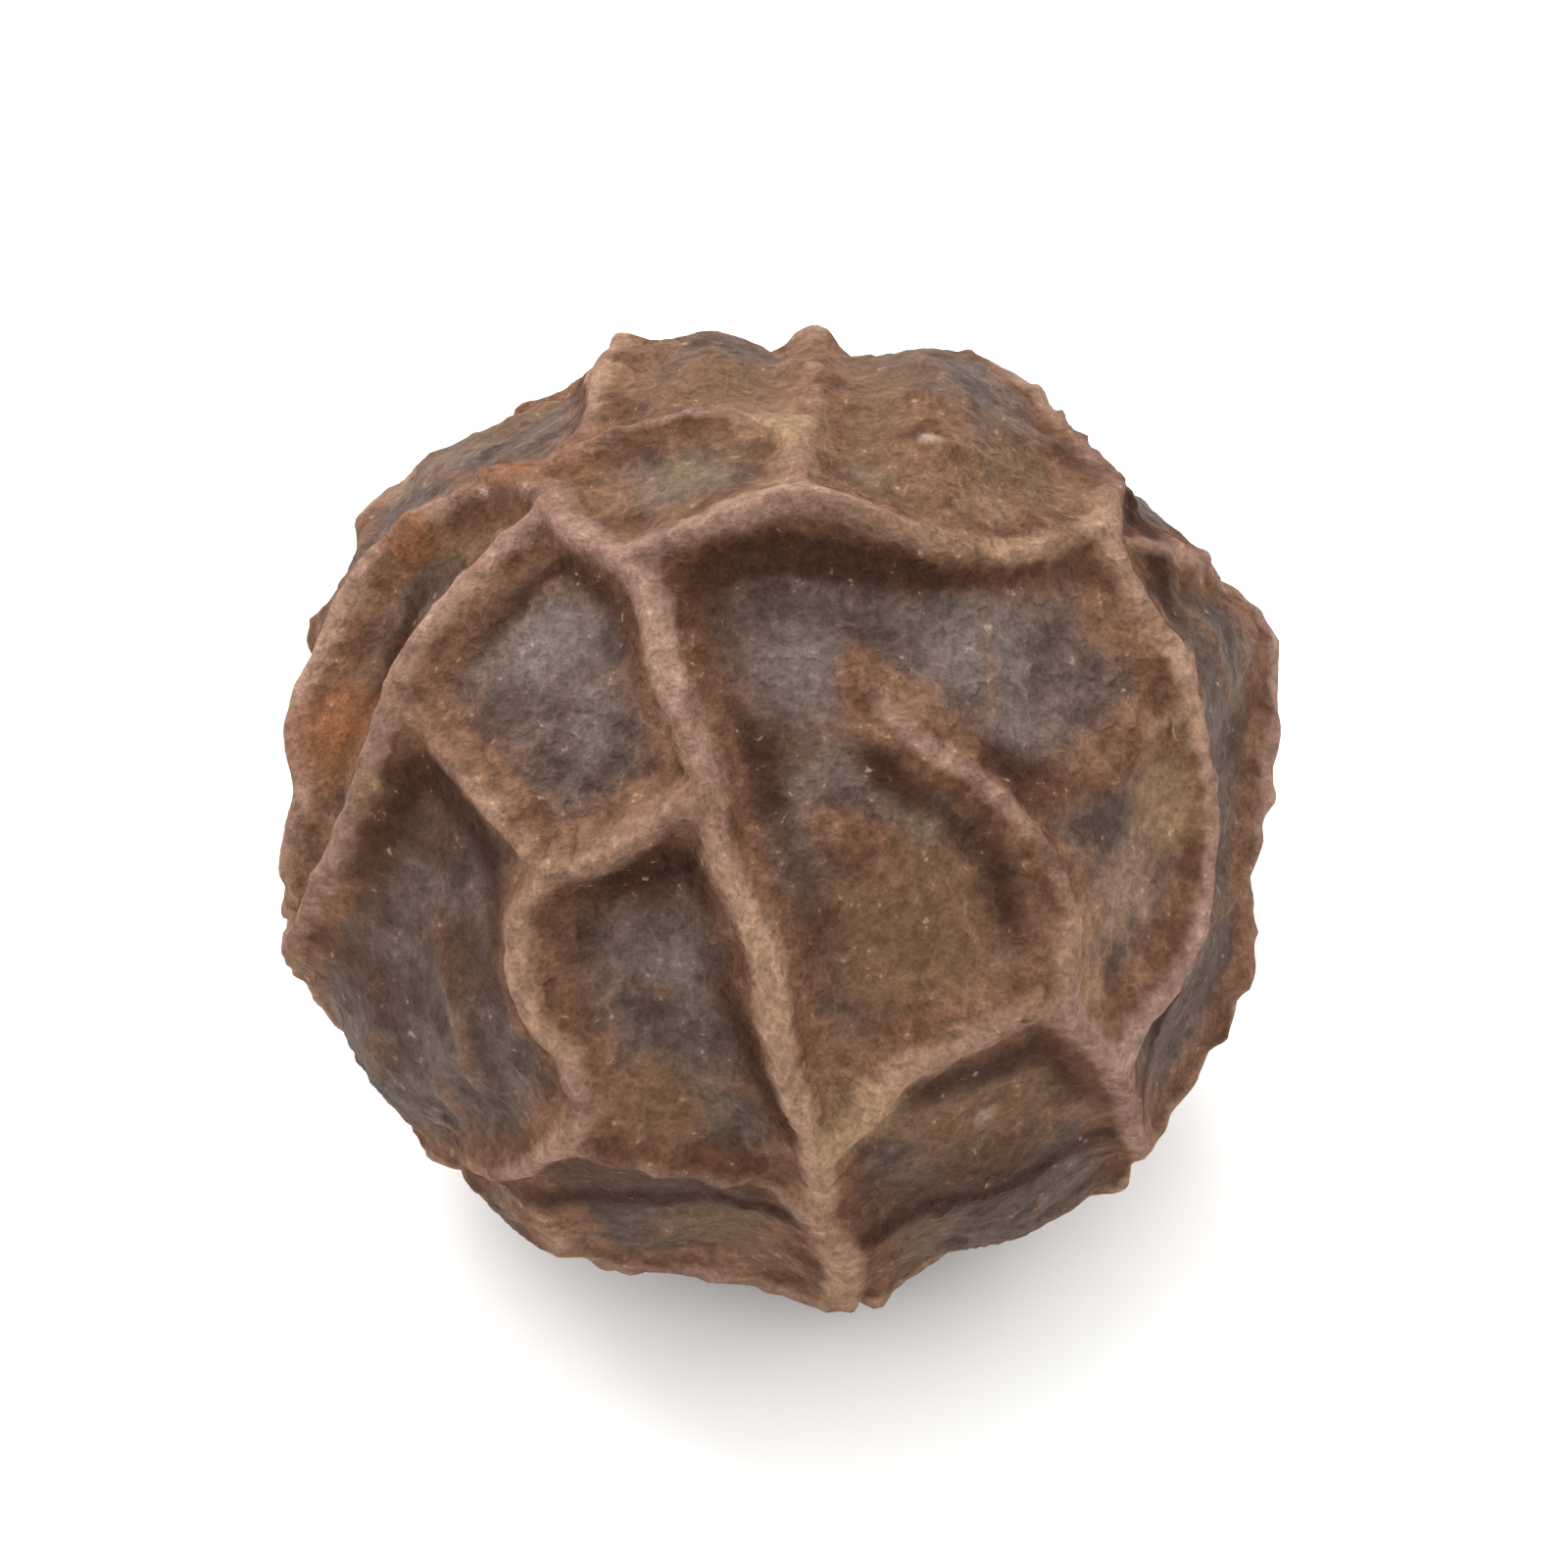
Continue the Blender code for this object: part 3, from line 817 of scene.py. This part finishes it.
def scar_relief(arc):
    """Raised rim round a small pit with a point in its middle, by distance from it."""
    rim = SCAR_RIM_HEIGHT * np.exp(-(((arc - SCAR_RIM_RADIUS) / SCAR_RIM_WIDTH) ** 2))
    point = SCAR_POINT_HEIGHT * np.exp(-((arc / SCAR_POINT_RADIUS) ** 2))
    return rim + point


def arc_from(directions, centre):
    """Millimetres along the ball from a direction."""
    return np.arccos(np.clip(directions @ unit(np.array(centre)), -1.0, 1.0)) * CREST_RADIUS


def lean_field(directions, rng):
    """Vectors along the surface: down as it is seen, and a smooth random part."""
    field = [ripple(directions, make_waves(rng, *LEAN_WAVES)) for _ in range(3)]
    field = LEAN_STRAY * np.stack(field, axis=1) - view_axes()[1]
    return field - directions * (field * directions).sum(axis=1)[:, None]


def pucker_net(directions, rng):
    """0 to 1: fine folds where the two nearest of many scattered centres are equally near."""
    centres = spiral_directions(rng, PUCKER_COUNT, PUCKER_SHAKE)
    score = directions @ centres.T
    two = np.argpartition(-score, 1, axis=1)[:, :2]
    rows = np.arange(len(directions))
    gap = np.abs(score[rows, two[:, 0]] - score[rows, two[:, 1]])
    apart = np.linalg.norm(centres[two[:, 0]] - centres[two[:, 1]], axis=1)
    distance = gap / apart * CREST_RADIUS
    rounded = np.sqrt(distance**2 + PUCKER_ROUNDING**2) - PUCKER_ROUNDING
    return np.exp(-rounded / PUCKER_SPREAD)


def creases(directions, waves):
    """1 on the lines where a wavy random field crosses zero, and 0 away from them."""
    field = ripple(directions, waves)
    return (1.0 - np.abs(np.tanh(CREASE_SHARPNESS * field))) ** 2


def fine_relief(directions, net, pleats, rng):
    """Pleats, puckers, creases and grain, in millimetres, and the share that is raised.

    The pleats run down the ridges' flanks. The puckers are a fine net, strongest on the
    flanks too. All of them fade in and out over the corn.
    """
    twisted = bend(directions, rng)
    puckered = smooth_step(ripple(directions, make_waves(rng, *PUCKERED_WAVES)), *PUCKERED_FADE)
    pleated = smooth_step(ripple(directions, make_waves(rng, *PLEATED_WAVES)), *PLEATED_FADE)
    slope = smooth_step(net, *SLOPE_START) * (1.0 - smooth_step(net, *SLOPE_END))
    pucker = pucker_net(twisted, rng) * puckered * (PUCKER_LEAST + (1.0 - PUCKER_LEAST) * slope)
    crease = creases(twisted, make_waves(rng, *CREASE_WAVES))
    wrinkle = creases(twisted, make_waves(rng, *WRINKLE_WAVES))
    wrinkle *= 1.0 - WRINKLE_CLEARING * puckered
    grain = ripple(directions, make_waves(rng, *GRAIN_WAVES))
    relief = PLEAT_HEIGHT * pleats * slope * (PLEAT_LEAST + (1.0 - PLEAT_LEAST) * pleated)
    relief += PUCKER_HEIGHT * pucker + CREASE_HEIGHT * crease
    relief += WRINKLE_HEIGHT * wrinkle + GRAIN_HEIGHT * grain
    raised = np.stack((pucker, crease, wrinkle), axis=1) @ np.array(RAISED_SHARES)
    return relief, np.clip(raised, 0.0, 1.0)


def patch_masks(directions):
    """Each kind's patches, and the painted shade along the creases under the ridges: a bell of
    the distance from each patch's middle or each line, joined as a maximum."""
    masks = {}
    for kind, patches in SEEN_PATCHES.items():
        masks[kind] = np.zeros(len(directions))
        for right_mm, up_mm, width, strength in patches:
            arc = arc_from(directions, seen_direction(right_mm, up_mm))
            bell = strength * np.exp(-((arc / width) ** 2))
            masks[kind] = np.maximum(masks[kind], bell)
    # Painted shade: dark lines under the seen side's ridges, where shade falls
    masks["dark"] = np.zeros(len(directions))
    for points in SEEN_PAINTED_SHADE.values():
        nearest, share, _ = nearest_part(directions, points)
        line = share * np.exp(-((nearest / PAINTED_SHADE_WIDTH) ** 2))
        masks["dark"] = np.maximum(masks["dark"], line)
    return masks


def skin_points(directions):
    """Points of the skin in millimetres from the middle, and its masks by name.

    The radius is the ball's, plus the outline's and the placed swells, plus the ridge net
    and the scar, and the fine relief. It fades to a plain ball over the resting spot. The
    crests also lean a little along the surface.
    """
    rng = np.random.default_rng(SEED)
    centres = far_hollows(rng)
    twisted = bend(directions, rng)
    net, worn, pleats = ridge_net(twisted, centres)

    rim = rim_share(directions)
    swell = outline_rise(directions) * rim
    swell += SWELL * ripple(directions, make_waves(rng, *SWELL_WAVES)) * (1.0 - rim)
    for right_mm, up_mm, rise, width in SEEN_SWELLS.values():
        arc = arc_from(directions, seen_direction(right_mm, up_mm))
        swell += rise * np.exp(-((arc / width) ** 2))

    uneven = 1.0 + RIDGE_UNEVENNESS * ripple(directions, make_waves(rng, *UNEVEN_WAVES))
    floor = FLOOR_UNEVENNESS * ripple(directions, make_waves(rng, *FLOOR_WAVES))
    folds = small_folds(directions, rng)
    floor += SMALL_HEIGHT * folds
    relief = RIDGE_HEIGHT * net * uneven + floor * (1.0 - net)

    scar_arc = arc_from(directions, SCAR_DIRECTION)
    around = smooth_step(scar_arc, *SCAR_CLEARING)
    relief = relief * around + scar_relief(scar_arc) * (1.0 - around)

    beyond = smooth_step(arc_from(directions, (0.0, 0.0, -1.0)), *FOOT_CLEARING)
    depth = FOOT_SHARE + (1.0 - FOOT_SHARE) * beyond
    fine, raised = fine_relief(directions, net, pleats, np.random.default_rng(PUCKER_SEED))
    radius = CREST_RADIUS + swell * beyond + (relief - RIDGE_HEIGHT) * depth
    radius += (fine - FINE_MEAN) * beyond
    lean = RIDGE_LEAN * net**2 * around * beyond
    points = directions * radius[:, None] + lean_field(directions, rng) * lean[:, None]
    masks = {
        "crest": worn * around + (1.0 - around) * scar_relief(scar_arc) / RIDGE_HEIGHT,
        "folds": folds * (1.0 - net),
        "raised": raised,
        "scar": 1.0 - around,
        "seen": smooth_step(directions @ view_axes()[2], *SEEN_FADE),
        **patch_masks(twisted),
    }
    return points, masks


def foot_height():
    """Height of the middle above the resting plane, in millimetres."""
    return math.sqrt(CREST_RADIUS**2 - FOOT_RADIUS**2)


def ball_grid(count):
    """Directions and quads of a ball: a cube's six square grids, pushed out to it.

    Each face has count by count squares at equal angles. A point on the cube's edge is
    shared by the faces that meet there, so the ball has no seam and no pole.
    """
    step = np.arange(count + 1)
    first, second = np.meshgrid(step, step, indexing="ij")
    faces = []
    for axis in range(3):
        for side in (0, count):
            lattice = np.empty((count + 1, count + 1, 3), dtype=int)
            lattice[..., axis] = side
            lattice[..., (axis + 1) % 3] = first if side else second
            lattice[..., (axis + 2) % 3] = second if side else first
            faces.append(lattice)
    lattice = np.stack(faces).reshape(-1, 3)
    key = lattice @ np.array((1, count + 1, (count + 1) ** 2))
    _, where, index = np.unique(key, return_index=True, return_inverse=True)
    cube = np.tan((lattice[where] / count * 2.0 - 1.0) * math.pi / 4.0)
    index = index.reshape(6, count + 1, count + 1)
    corners = (index[:, :-1, :-1], index[:, 1:, :-1], index[:, 1:, 1:], index[:, :-1, 1:])
    return unit(cube), np.stack(corners, axis=-1).reshape(-1, 4)


directions, quads = ball_grid(GRID)
skin, masks = skin_points(directions)
skin[:, 2] = (skin[:, 2] + foot_height()) * BODY_SQUASH

# What would lie under the resting plane is flat on it, and nothing leaves the solid's box
skin = np.clip(skin * MM, cad_low, cad_high)

mesh = bpy.data.meshes.new("dried_skin")
mesh.from_pydata(skin, [], quads)
for name, values in masks.items():
    mesh.attributes.new(name, "FLOAT", "POINT").data.foreach_set("value", values)
mesh.shade_smooth()
corn = bpy.data.objects.new("dried_skin", mesh)
bpy.context.scene.collection.objects.link(corn)


def add_node(tree, kind, **values):
    """New node of a material, with its settings and the values of its inputs by name."""
    made = tree.nodes.new(kind)
    for name, value in values.items():
        if name in made.bl_rna.properties:
            setattr(made, name, value)
        else:
            made.inputs[name.replace("_", " ")].default_value = value
    return made


def attribute(tree, name):
    """Output of the mesh's own mask of that name."""
    return add_node(tree, "ShaderNodeAttribute", attribute_name=name).outputs["Fac"]


def noise(tree, place, scale, octaves, roughness, distortion):
    """Noise of that many lumps per millimetre, about 0 to 1."""
    made = tree.nodes.new("ShaderNodeTexNoise")
    made.inputs["Scale"].default_value = scale
    made.inputs["Detail"].default_value = octaves
    made.inputs["Roughness"].default_value = roughness
    made.inputs["Distortion"].default_value = distortion
    tree.links.new(place, made.inputs["Vector"])
    return made.outputs["Fac"]


def math_of(tree, operation, first, second=None, third=None):
    """Output of a Math node on values or sockets."""
    made = tree.nodes.new("ShaderNodeMath")
    made.operation = operation
    for socket, value in zip(made.inputs, (first, second, third)):
        if isinstance(value, bpy.types.NodeSocket):
            tree.links.new(value, socket)
        elif value is not None:
            socket.default_value = value
    return made.outputs[0]


def fade(tree, value, low, high, to_low=0.0, to_high=1.0):
    """Smooth rise from to_low to to_high as value goes from low to high."""
    made = add_node(tree, "ShaderNodeMapRange", interpolation_type="SMOOTHSTEP")
    made.inputs["From Min"].default_value = low
    made.inputs["From Max"].default_value = high
    made.inputs["To Min"].default_value = to_low
    made.inputs["To Max"].default_value = to_high
    tree.links.new(value, made.inputs["Value"])
    return made.outputs["Result"]


def mix_colour(tree, share, first, second, blend="MIX"):
    """Colour between first and second, each a socket or an (r, g, b)."""
    made = add_node(tree, "ShaderNodeMix", data_type="RGBA", blend_type=blend)
    sockets = (made.inputs[0], made.inputs[6], made.inputs[7])
    for socket, value in zip(sockets, (share, first, second)):
        if isinstance(value, bpy.types.NodeSocket):
            tree.links.new(value, socket)
        elif socket.type == "RGBA":
            socket.default_value = (*value, 1.0)
        else:
            socket.default_value = value
    return made.outputs[2]


def lay_over(tree, colour, shares, stains):
    """The colour with each stain laid over it in turn, by its own share and strength."""
    for name, (stain, strength) in stains.items():
        colour = mix_colour(tree, math_of(tree, "MULTIPLY", shares[name], strength), colour, stain)
    return colour


# Colours of the hollows' floors, the ridges' flanks and the rubbed crests
HOLLOW_DARK = (0.055, 0.034, 0.027)
# The hollows' grey-mauve is partly bloom and partly a painted sheen
HOLLOW_BLOOM_AND_SHEEN = (0.102, 0.070, 0.058)
FLANK_DARK = (0.080, 0.037, 0.021)
FLANK_BROWN = (0.142, 0.075, 0.045)
CREST_TAN = (0.243, 0.147, 0.095)
CREST_PINK = (0.222, 0.133, 0.105)
STRAW = (0.250, 0.161, 0.093)
PALE = (0.310, 0.245, 0.176)

# Stains laid over them in turn, and painted shade in the flanks' creases: colour, and the most of
# it that shows
HOLLOW_STAINS = {
    # Grey-mauve bloom with a painted sheen
    "bloom_and_sheen": ((0.121, 0.091, 0.081), 1.00),
    "brown": ((0.110, 0.062, 0.035), 1.00),
    "olive": ((0.129, 0.090, 0.059), 0.70),
    "fold": (FLANK_BROWN, 0.55),
}
FLANK_STAINS = {
    "tan": (CREST_TAN, 0.60),
    "umber": ((0.052, 0.024, 0.015), 0.75),
    # Painted shade in the creases under the ridges, not a stain of the skin
    "dark": ((0.030, 0.012, 0.007), 0.90),
    "scar": ((0.116, 0.065, 0.039), 0.80),
}
CREST_STAINS = {
    "pink": (CREST_PINK, 1.00),
    "straw": (STRAW, 1.00),
}
SKIN_STAINS = {
    "straw": (STRAW, 0.45),
    "rust": ((0.179, 0.067, 0.027), 0.65),
    "pale": (PALE, 0.70),
    "speck": (PALE, 0.35),
}

# Noises: lumps per millimetre, octaves, roughness, distortion
BROAD = (0.55, 1.0, 0.55, 0.0)
PATCH = (1.1, 3.0, 0.60, 0.6)
MOTTLE = (3.2, 3.0, 0.62, 0.0)
WRINKLE = (7.0, 1.0, 0.55, 0.0)
GRAIN = (14.0, 2.0, 0.65, 0.0)
FINE = (44.0, 2.0, 0.60, 0.0)

# Where each stain or the painted shade starts and is full: on the seen side by its own mask plus
# a share of the mottle, and on the far side by the patch noise, or by the broad noise for the
# brown
STAIN_FADES = {
    "brown": (0.55, 1.10, 0.42, 0.58),
    "olive": (0.65, 1.15, 0.62, 0.74),
    "straw": (0.65, 1.20, 0.58, 0.70),
    "rust": (0.65, 1.25, 0.40, 0.30),
    "pale": (0.80, 1.20, 0.72, 0.80),
    # Painted shade along the seen side's creases; on the far side, random dark patches
    "dark": (0.45, 1.25, 0.36, 0.28),
    "tan": (0.55, 1.25, 0.56, 0.66),
    # Grey-mauve bloom with a painted sheen
    "bloom_and_sheen": (0.45, 1.40, 0.60, 0.70),
    "umber": (0.60, 1.20, 0.38, 0.30),
    "pink": (0.55, 1.15, 0.56, 0.66),
}
STAIN_MOTTLE = 0.8

# Where one colour gives way to the next, by the ridges' height or by a noise
EDGE_MOTTLE = 0.40
EDGE_RAISED = 0.10
# Mottle from the dark floor to its bloom with painted sheen
FLOOR_FADE = (0.34, 0.66)
FOLD_FADE = (0.30, 0.80)
FLANK_MOTTLE_FADE = (0.36, 0.62)
FLANK_FADE = (0.14, 0.44)
CREST_FADE = (0.62, 0.92)
CREST_HUE_FADE = (0.38, 0.62)
WEAR_FADE = (0.34, 0.60, 0.35, 1.0)
PINK_WEAR_FADE = (0.0, 1.0, 1.0, 0.62)
SPECK_FADE = (0.66, 0.76)

# Light and dark of the grain, and roughness from hollow to crest
GRAIN_SHADE = (0.25, 0.75, 0.72, 1.25)
FINE_SHADE = (0.25, 0.75, 0.82, 1.16)
ROUGHNESS_FADE = (0.2, 0.9, 0.48, 0.70)
GRAIN_ROUGHNESS = 0.20
GLOSS = 0.04

# Depths of the bumps, in millimetres, and the width of a wrinkle in its noise
WRINKLE_WIDTH = 0.13
WRINKLE_DEPTH_FADE = (0.40, 0.60, 0.002, 0.010)
GRAIN_DEPTH = 0.026
FINE_DEPTH = 0.009
MOTTLE_DEPTH = 0.040


def dried_skin():
    """Hollows of brown and of grey-mauve bloom with a painted sheen, red-brown flanks with painted
    shade in the creases under the ridges, and rubbed tan crests, patched with rust, straw, olive
    and umber."""
    material = bpy.data.materials.new("dried_skin")
    material.use_nodes = True
    tree = material.node_tree
    shader = tree.nodes["Principled BSDF"]
    coordinates = tree.nodes.new("ShaderNodeTexCoord")
    in_mm = add_node(tree, "ShaderNodeMapping", Scale=(1.0 / MM, 1.0 / MM, 1.0 / MM))
    tree.links.new(coordinates.outputs["Object"], in_mm.inputs["Vector"])
    place = in_mm.outputs["Vector"]

    broad = noise(tree, place, *BROAD)
    patch = noise(tree, place, *PATCH)
    mottle = noise(tree, place, *MOTTLE)
    wrinkle = noise(tree, place, *WRINKLE)
    grain = noise(tree, place, *GRAIN)
    fine = noise(tree, place, *FINE)

    seen = attribute(tree, "seen")
    away = math_of(tree, "SUBTRACT", 1.0, seen)
    shares = {}
    for name, (low, high, far_low, far_high) in STAIN_FADES.items():
        near = math_of(tree, "MULTIPLY_ADD", mottle, STAIN_MOTTLE, attribute(tree, name))
        near = math_of(tree, "MULTIPLY", fade(tree, near, low, high), seen)
        far = fade(tree, broad if name == "brown" else patch, far_low, far_high)
        shares[name] = math_of(tree, "MULTIPLY_ADD", far, away, near)
    shares["fold"] = fade(tree, attribute(tree, "folds"), *FOLD_FADE)
    shares["scar"] = attribute(tree, "scar")
    shares["speck"] = fade(tree, grain, *SPECK_FADE)

    uneven = math_of(tree, "MULTIPLY_ADD", mottle, EDGE_MOTTLE, -EDGE_MOTTLE / 2.0)
    edge = math_of(tree, "ADD", attribute(tree, "crest"), uneven)
    edge = math_of(tree, "MULTIPLY_ADD", attribute(tree, "raised"), EDGE_RAISED, edge)

    # Hollows' floors: dark, mottled with grey-mauve bloom and painted sheen
    floor = mix_colour(tree, fade(tree, mottle, *FLOOR_FADE), HOLLOW_DARK, HOLLOW_BLOOM_AND_SHEEN)
    floor = lay_over(tree, floor, shares, HOLLOW_STAINS)
    brown = mix_colour(tree, fade(tree, mottle, *FLANK_MOTTLE_FADE), FLANK_DARK, FLANK_BROWN)
    flank = mix_colour(tree, fade(tree, edge, *FLANK_FADE), floor, brown)
    flank = lay_over(tree, flank, shares, FLANK_STAINS)
    tan = mix_colour(tree, fade(tree, broad, *CREST_HUE_FADE), CREST_PINK, CREST_TAN)
    tan = lay_over(tree, tan, shares, CREST_STAINS)
    worn = math_of(tree, "MULTIPLY", fade(tree, patch, *WEAR_FADE), fade(tree, edge, *CREST_FADE))
    worn = math_of(tree, "MULTIPLY", worn, fade(tree, shares["pink"], *PINK_WEAR_FADE))
    colour = mix_colour(tree, worn, flank, tan)
    colour = lay_over(tree, colour, shares, SKIN_STAINS)

    shade = fade(tree, grain, *GRAIN_SHADE)
    shade = math_of(tree, "MULTIPLY", shade, fade(tree, fine, *FINE_SHADE))
    grey = tree.nodes.new("ShaderNodeCombineColor")
    for socket in grey.inputs:
        tree.links.new(shade, socket)
    colour = mix_colour(tree, 1.0, colour, grey.outputs[0], "MULTIPLY")
    tree.links.new(colour, shader.inputs["Base Color"])

    rough = fade(tree, edge, *ROUGHNESS_FADE)
    rough = math_of(tree, "MULTIPLY_ADD", grain, GRAIN_ROUGHNESS, rough)
    tree.links.new(rough, shader.inputs["Roughness"])
    shader.inputs["Specular IOR Level"].default_value = GLOSS

    line = math_of(tree, "ABSOLUTE", math_of(tree, "SUBTRACT", wrinkle, 0.5))
    depth = fade(tree, broad, *WRINKLE_DEPTH_FADE)
    height = math_of(tree, "MULTIPLY", fade(tree, line, 0.0, WRINKLE_WIDTH), depth)
    for part, part_depth in ((grain, GRAIN_DEPTH), (fine, FINE_DEPTH), (mottle, MOTTLE_DEPTH)):
        height = math_of(tree, "MULTIPLY_ADD", part, part_depth, height)
    bump = add_node(tree, "ShaderNodeBump", Strength=1.0, Distance=MM)
    tree.links.new(height, bump.inputs["Height"])
    tree.links.new(bump.outputs["Normal"], shader.inputs["Normal"])
    return material


mesh.materials.append(dried_skin())
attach(corn, "root")
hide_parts("peppercorn")

# Surface under the corn
# A plain white board, smooth and matt, that the corn lies on.

BOARD_SIDE = 2.0
BOARD_DROP = 0.000005
BOARD_WHITE = (0.86, 0.86, 0.85, 1.0)
BOARD_ROUGHNESS = 0.75

bpy.ops.mesh.primitive_plane_add(size=BOARD_SIDE, location=(0.0, 0.0, -BOARD_DROP))
board = bpy.context.object
board.name = "white_board"
white = bpy.data.materials.new("white_board")
white.use_nodes = True
white_shader = white.node_tree.nodes["Principled BSDF"]
white_shader.inputs["Base Color"].default_value = BOARD_WHITE
white_shader.inputs["Roughness"].default_value = BOARD_ROUGHNESS
board.data.materials.append(white)
board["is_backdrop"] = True

# Studio light
# One large soft window of light behind and to the left, above the corn, and a white
# surround that is brighter overhead.

KEY_PLACE = (-0.13, 0.22, 0.27)
KEY_SIDE = 0.32
KEY_WATTS = 1.30
HORIZON_LIGHT = 0.85
OVERHEAD_LIGHT = 2.20


def soft_light(name, place, side, watts):
    """Square lamp that faces the corn."""
    lamp = bpy.data.lights.new(name, "AREA")
    lamp.shape = "SQUARE"
    lamp.size = side
    lamp.energy = watts
    held = bpy.data.objects.new(name, lamp)
    bpy.context.scene.collection.objects.link(held)
    held.location = place
    aim = -held.location
    held.rotation_euler = aim.to_track_quat("-Z", "Y").to_euler()


soft_light("key", KEY_PLACE, KEY_SIDE, KEY_WATTS)
world = bpy.data.worlds.new("surround")
bpy.context.scene.world = world
world.use_nodes = True
sky = world.node_tree
way = sky.nodes.new("ShaderNodeTexCoord")
rise = sky.nodes.new("ShaderNodeSeparateXYZ")
sky.links.new(way.outputs["Generated"], rise.inputs["Vector"])
strength = fade(sky, rise.outputs["Z"], 0.0, 1.0, HORIZON_LIGHT, OVERHEAD_LIGHT)
sky.links.new(strength, sky.nodes["Background"].inputs["Strength"])
sky.nodes["Background"].inputs["Color"].default_value = (1.0, 1.0, 1.0, 1.0)
bpy.context.scene.view_settings.view_transform = "Standard"

# Camera
# It looks down at the angle that the photograph does, through a long lens.

LENS = 180.0
SENSOR = 36.0
FRAME_SHARE = 0.64
NEAREST = 0.001
FURTHEST = 10.0

low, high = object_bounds()
middle = (low + high) / 2.0
tilt = math.radians(VIEW_ELEVATION)
distance = (high.x - low.x) / FRAME_SHARE * LENS / SENSOR
camera = bpy.data.objects.new("camera", bpy.data.cameras.new("camera"))
bpy.context.scene.collection.objects.link(camera)
camera.data.lens = LENS
camera.data.sensor_width = SENSOR
camera.data.clip_start = NEAREST
camera.data.clip_end = FURTHEST
camera.location = (
    middle.x,
    middle.y - distance * math.cos(tilt),
    middle.z + distance * math.sin(tilt),
)
camera.rotation_euler = (math.pi / 2.0 - tilt, 0.0, 0.0)
bpy.context.scene.camera = camera
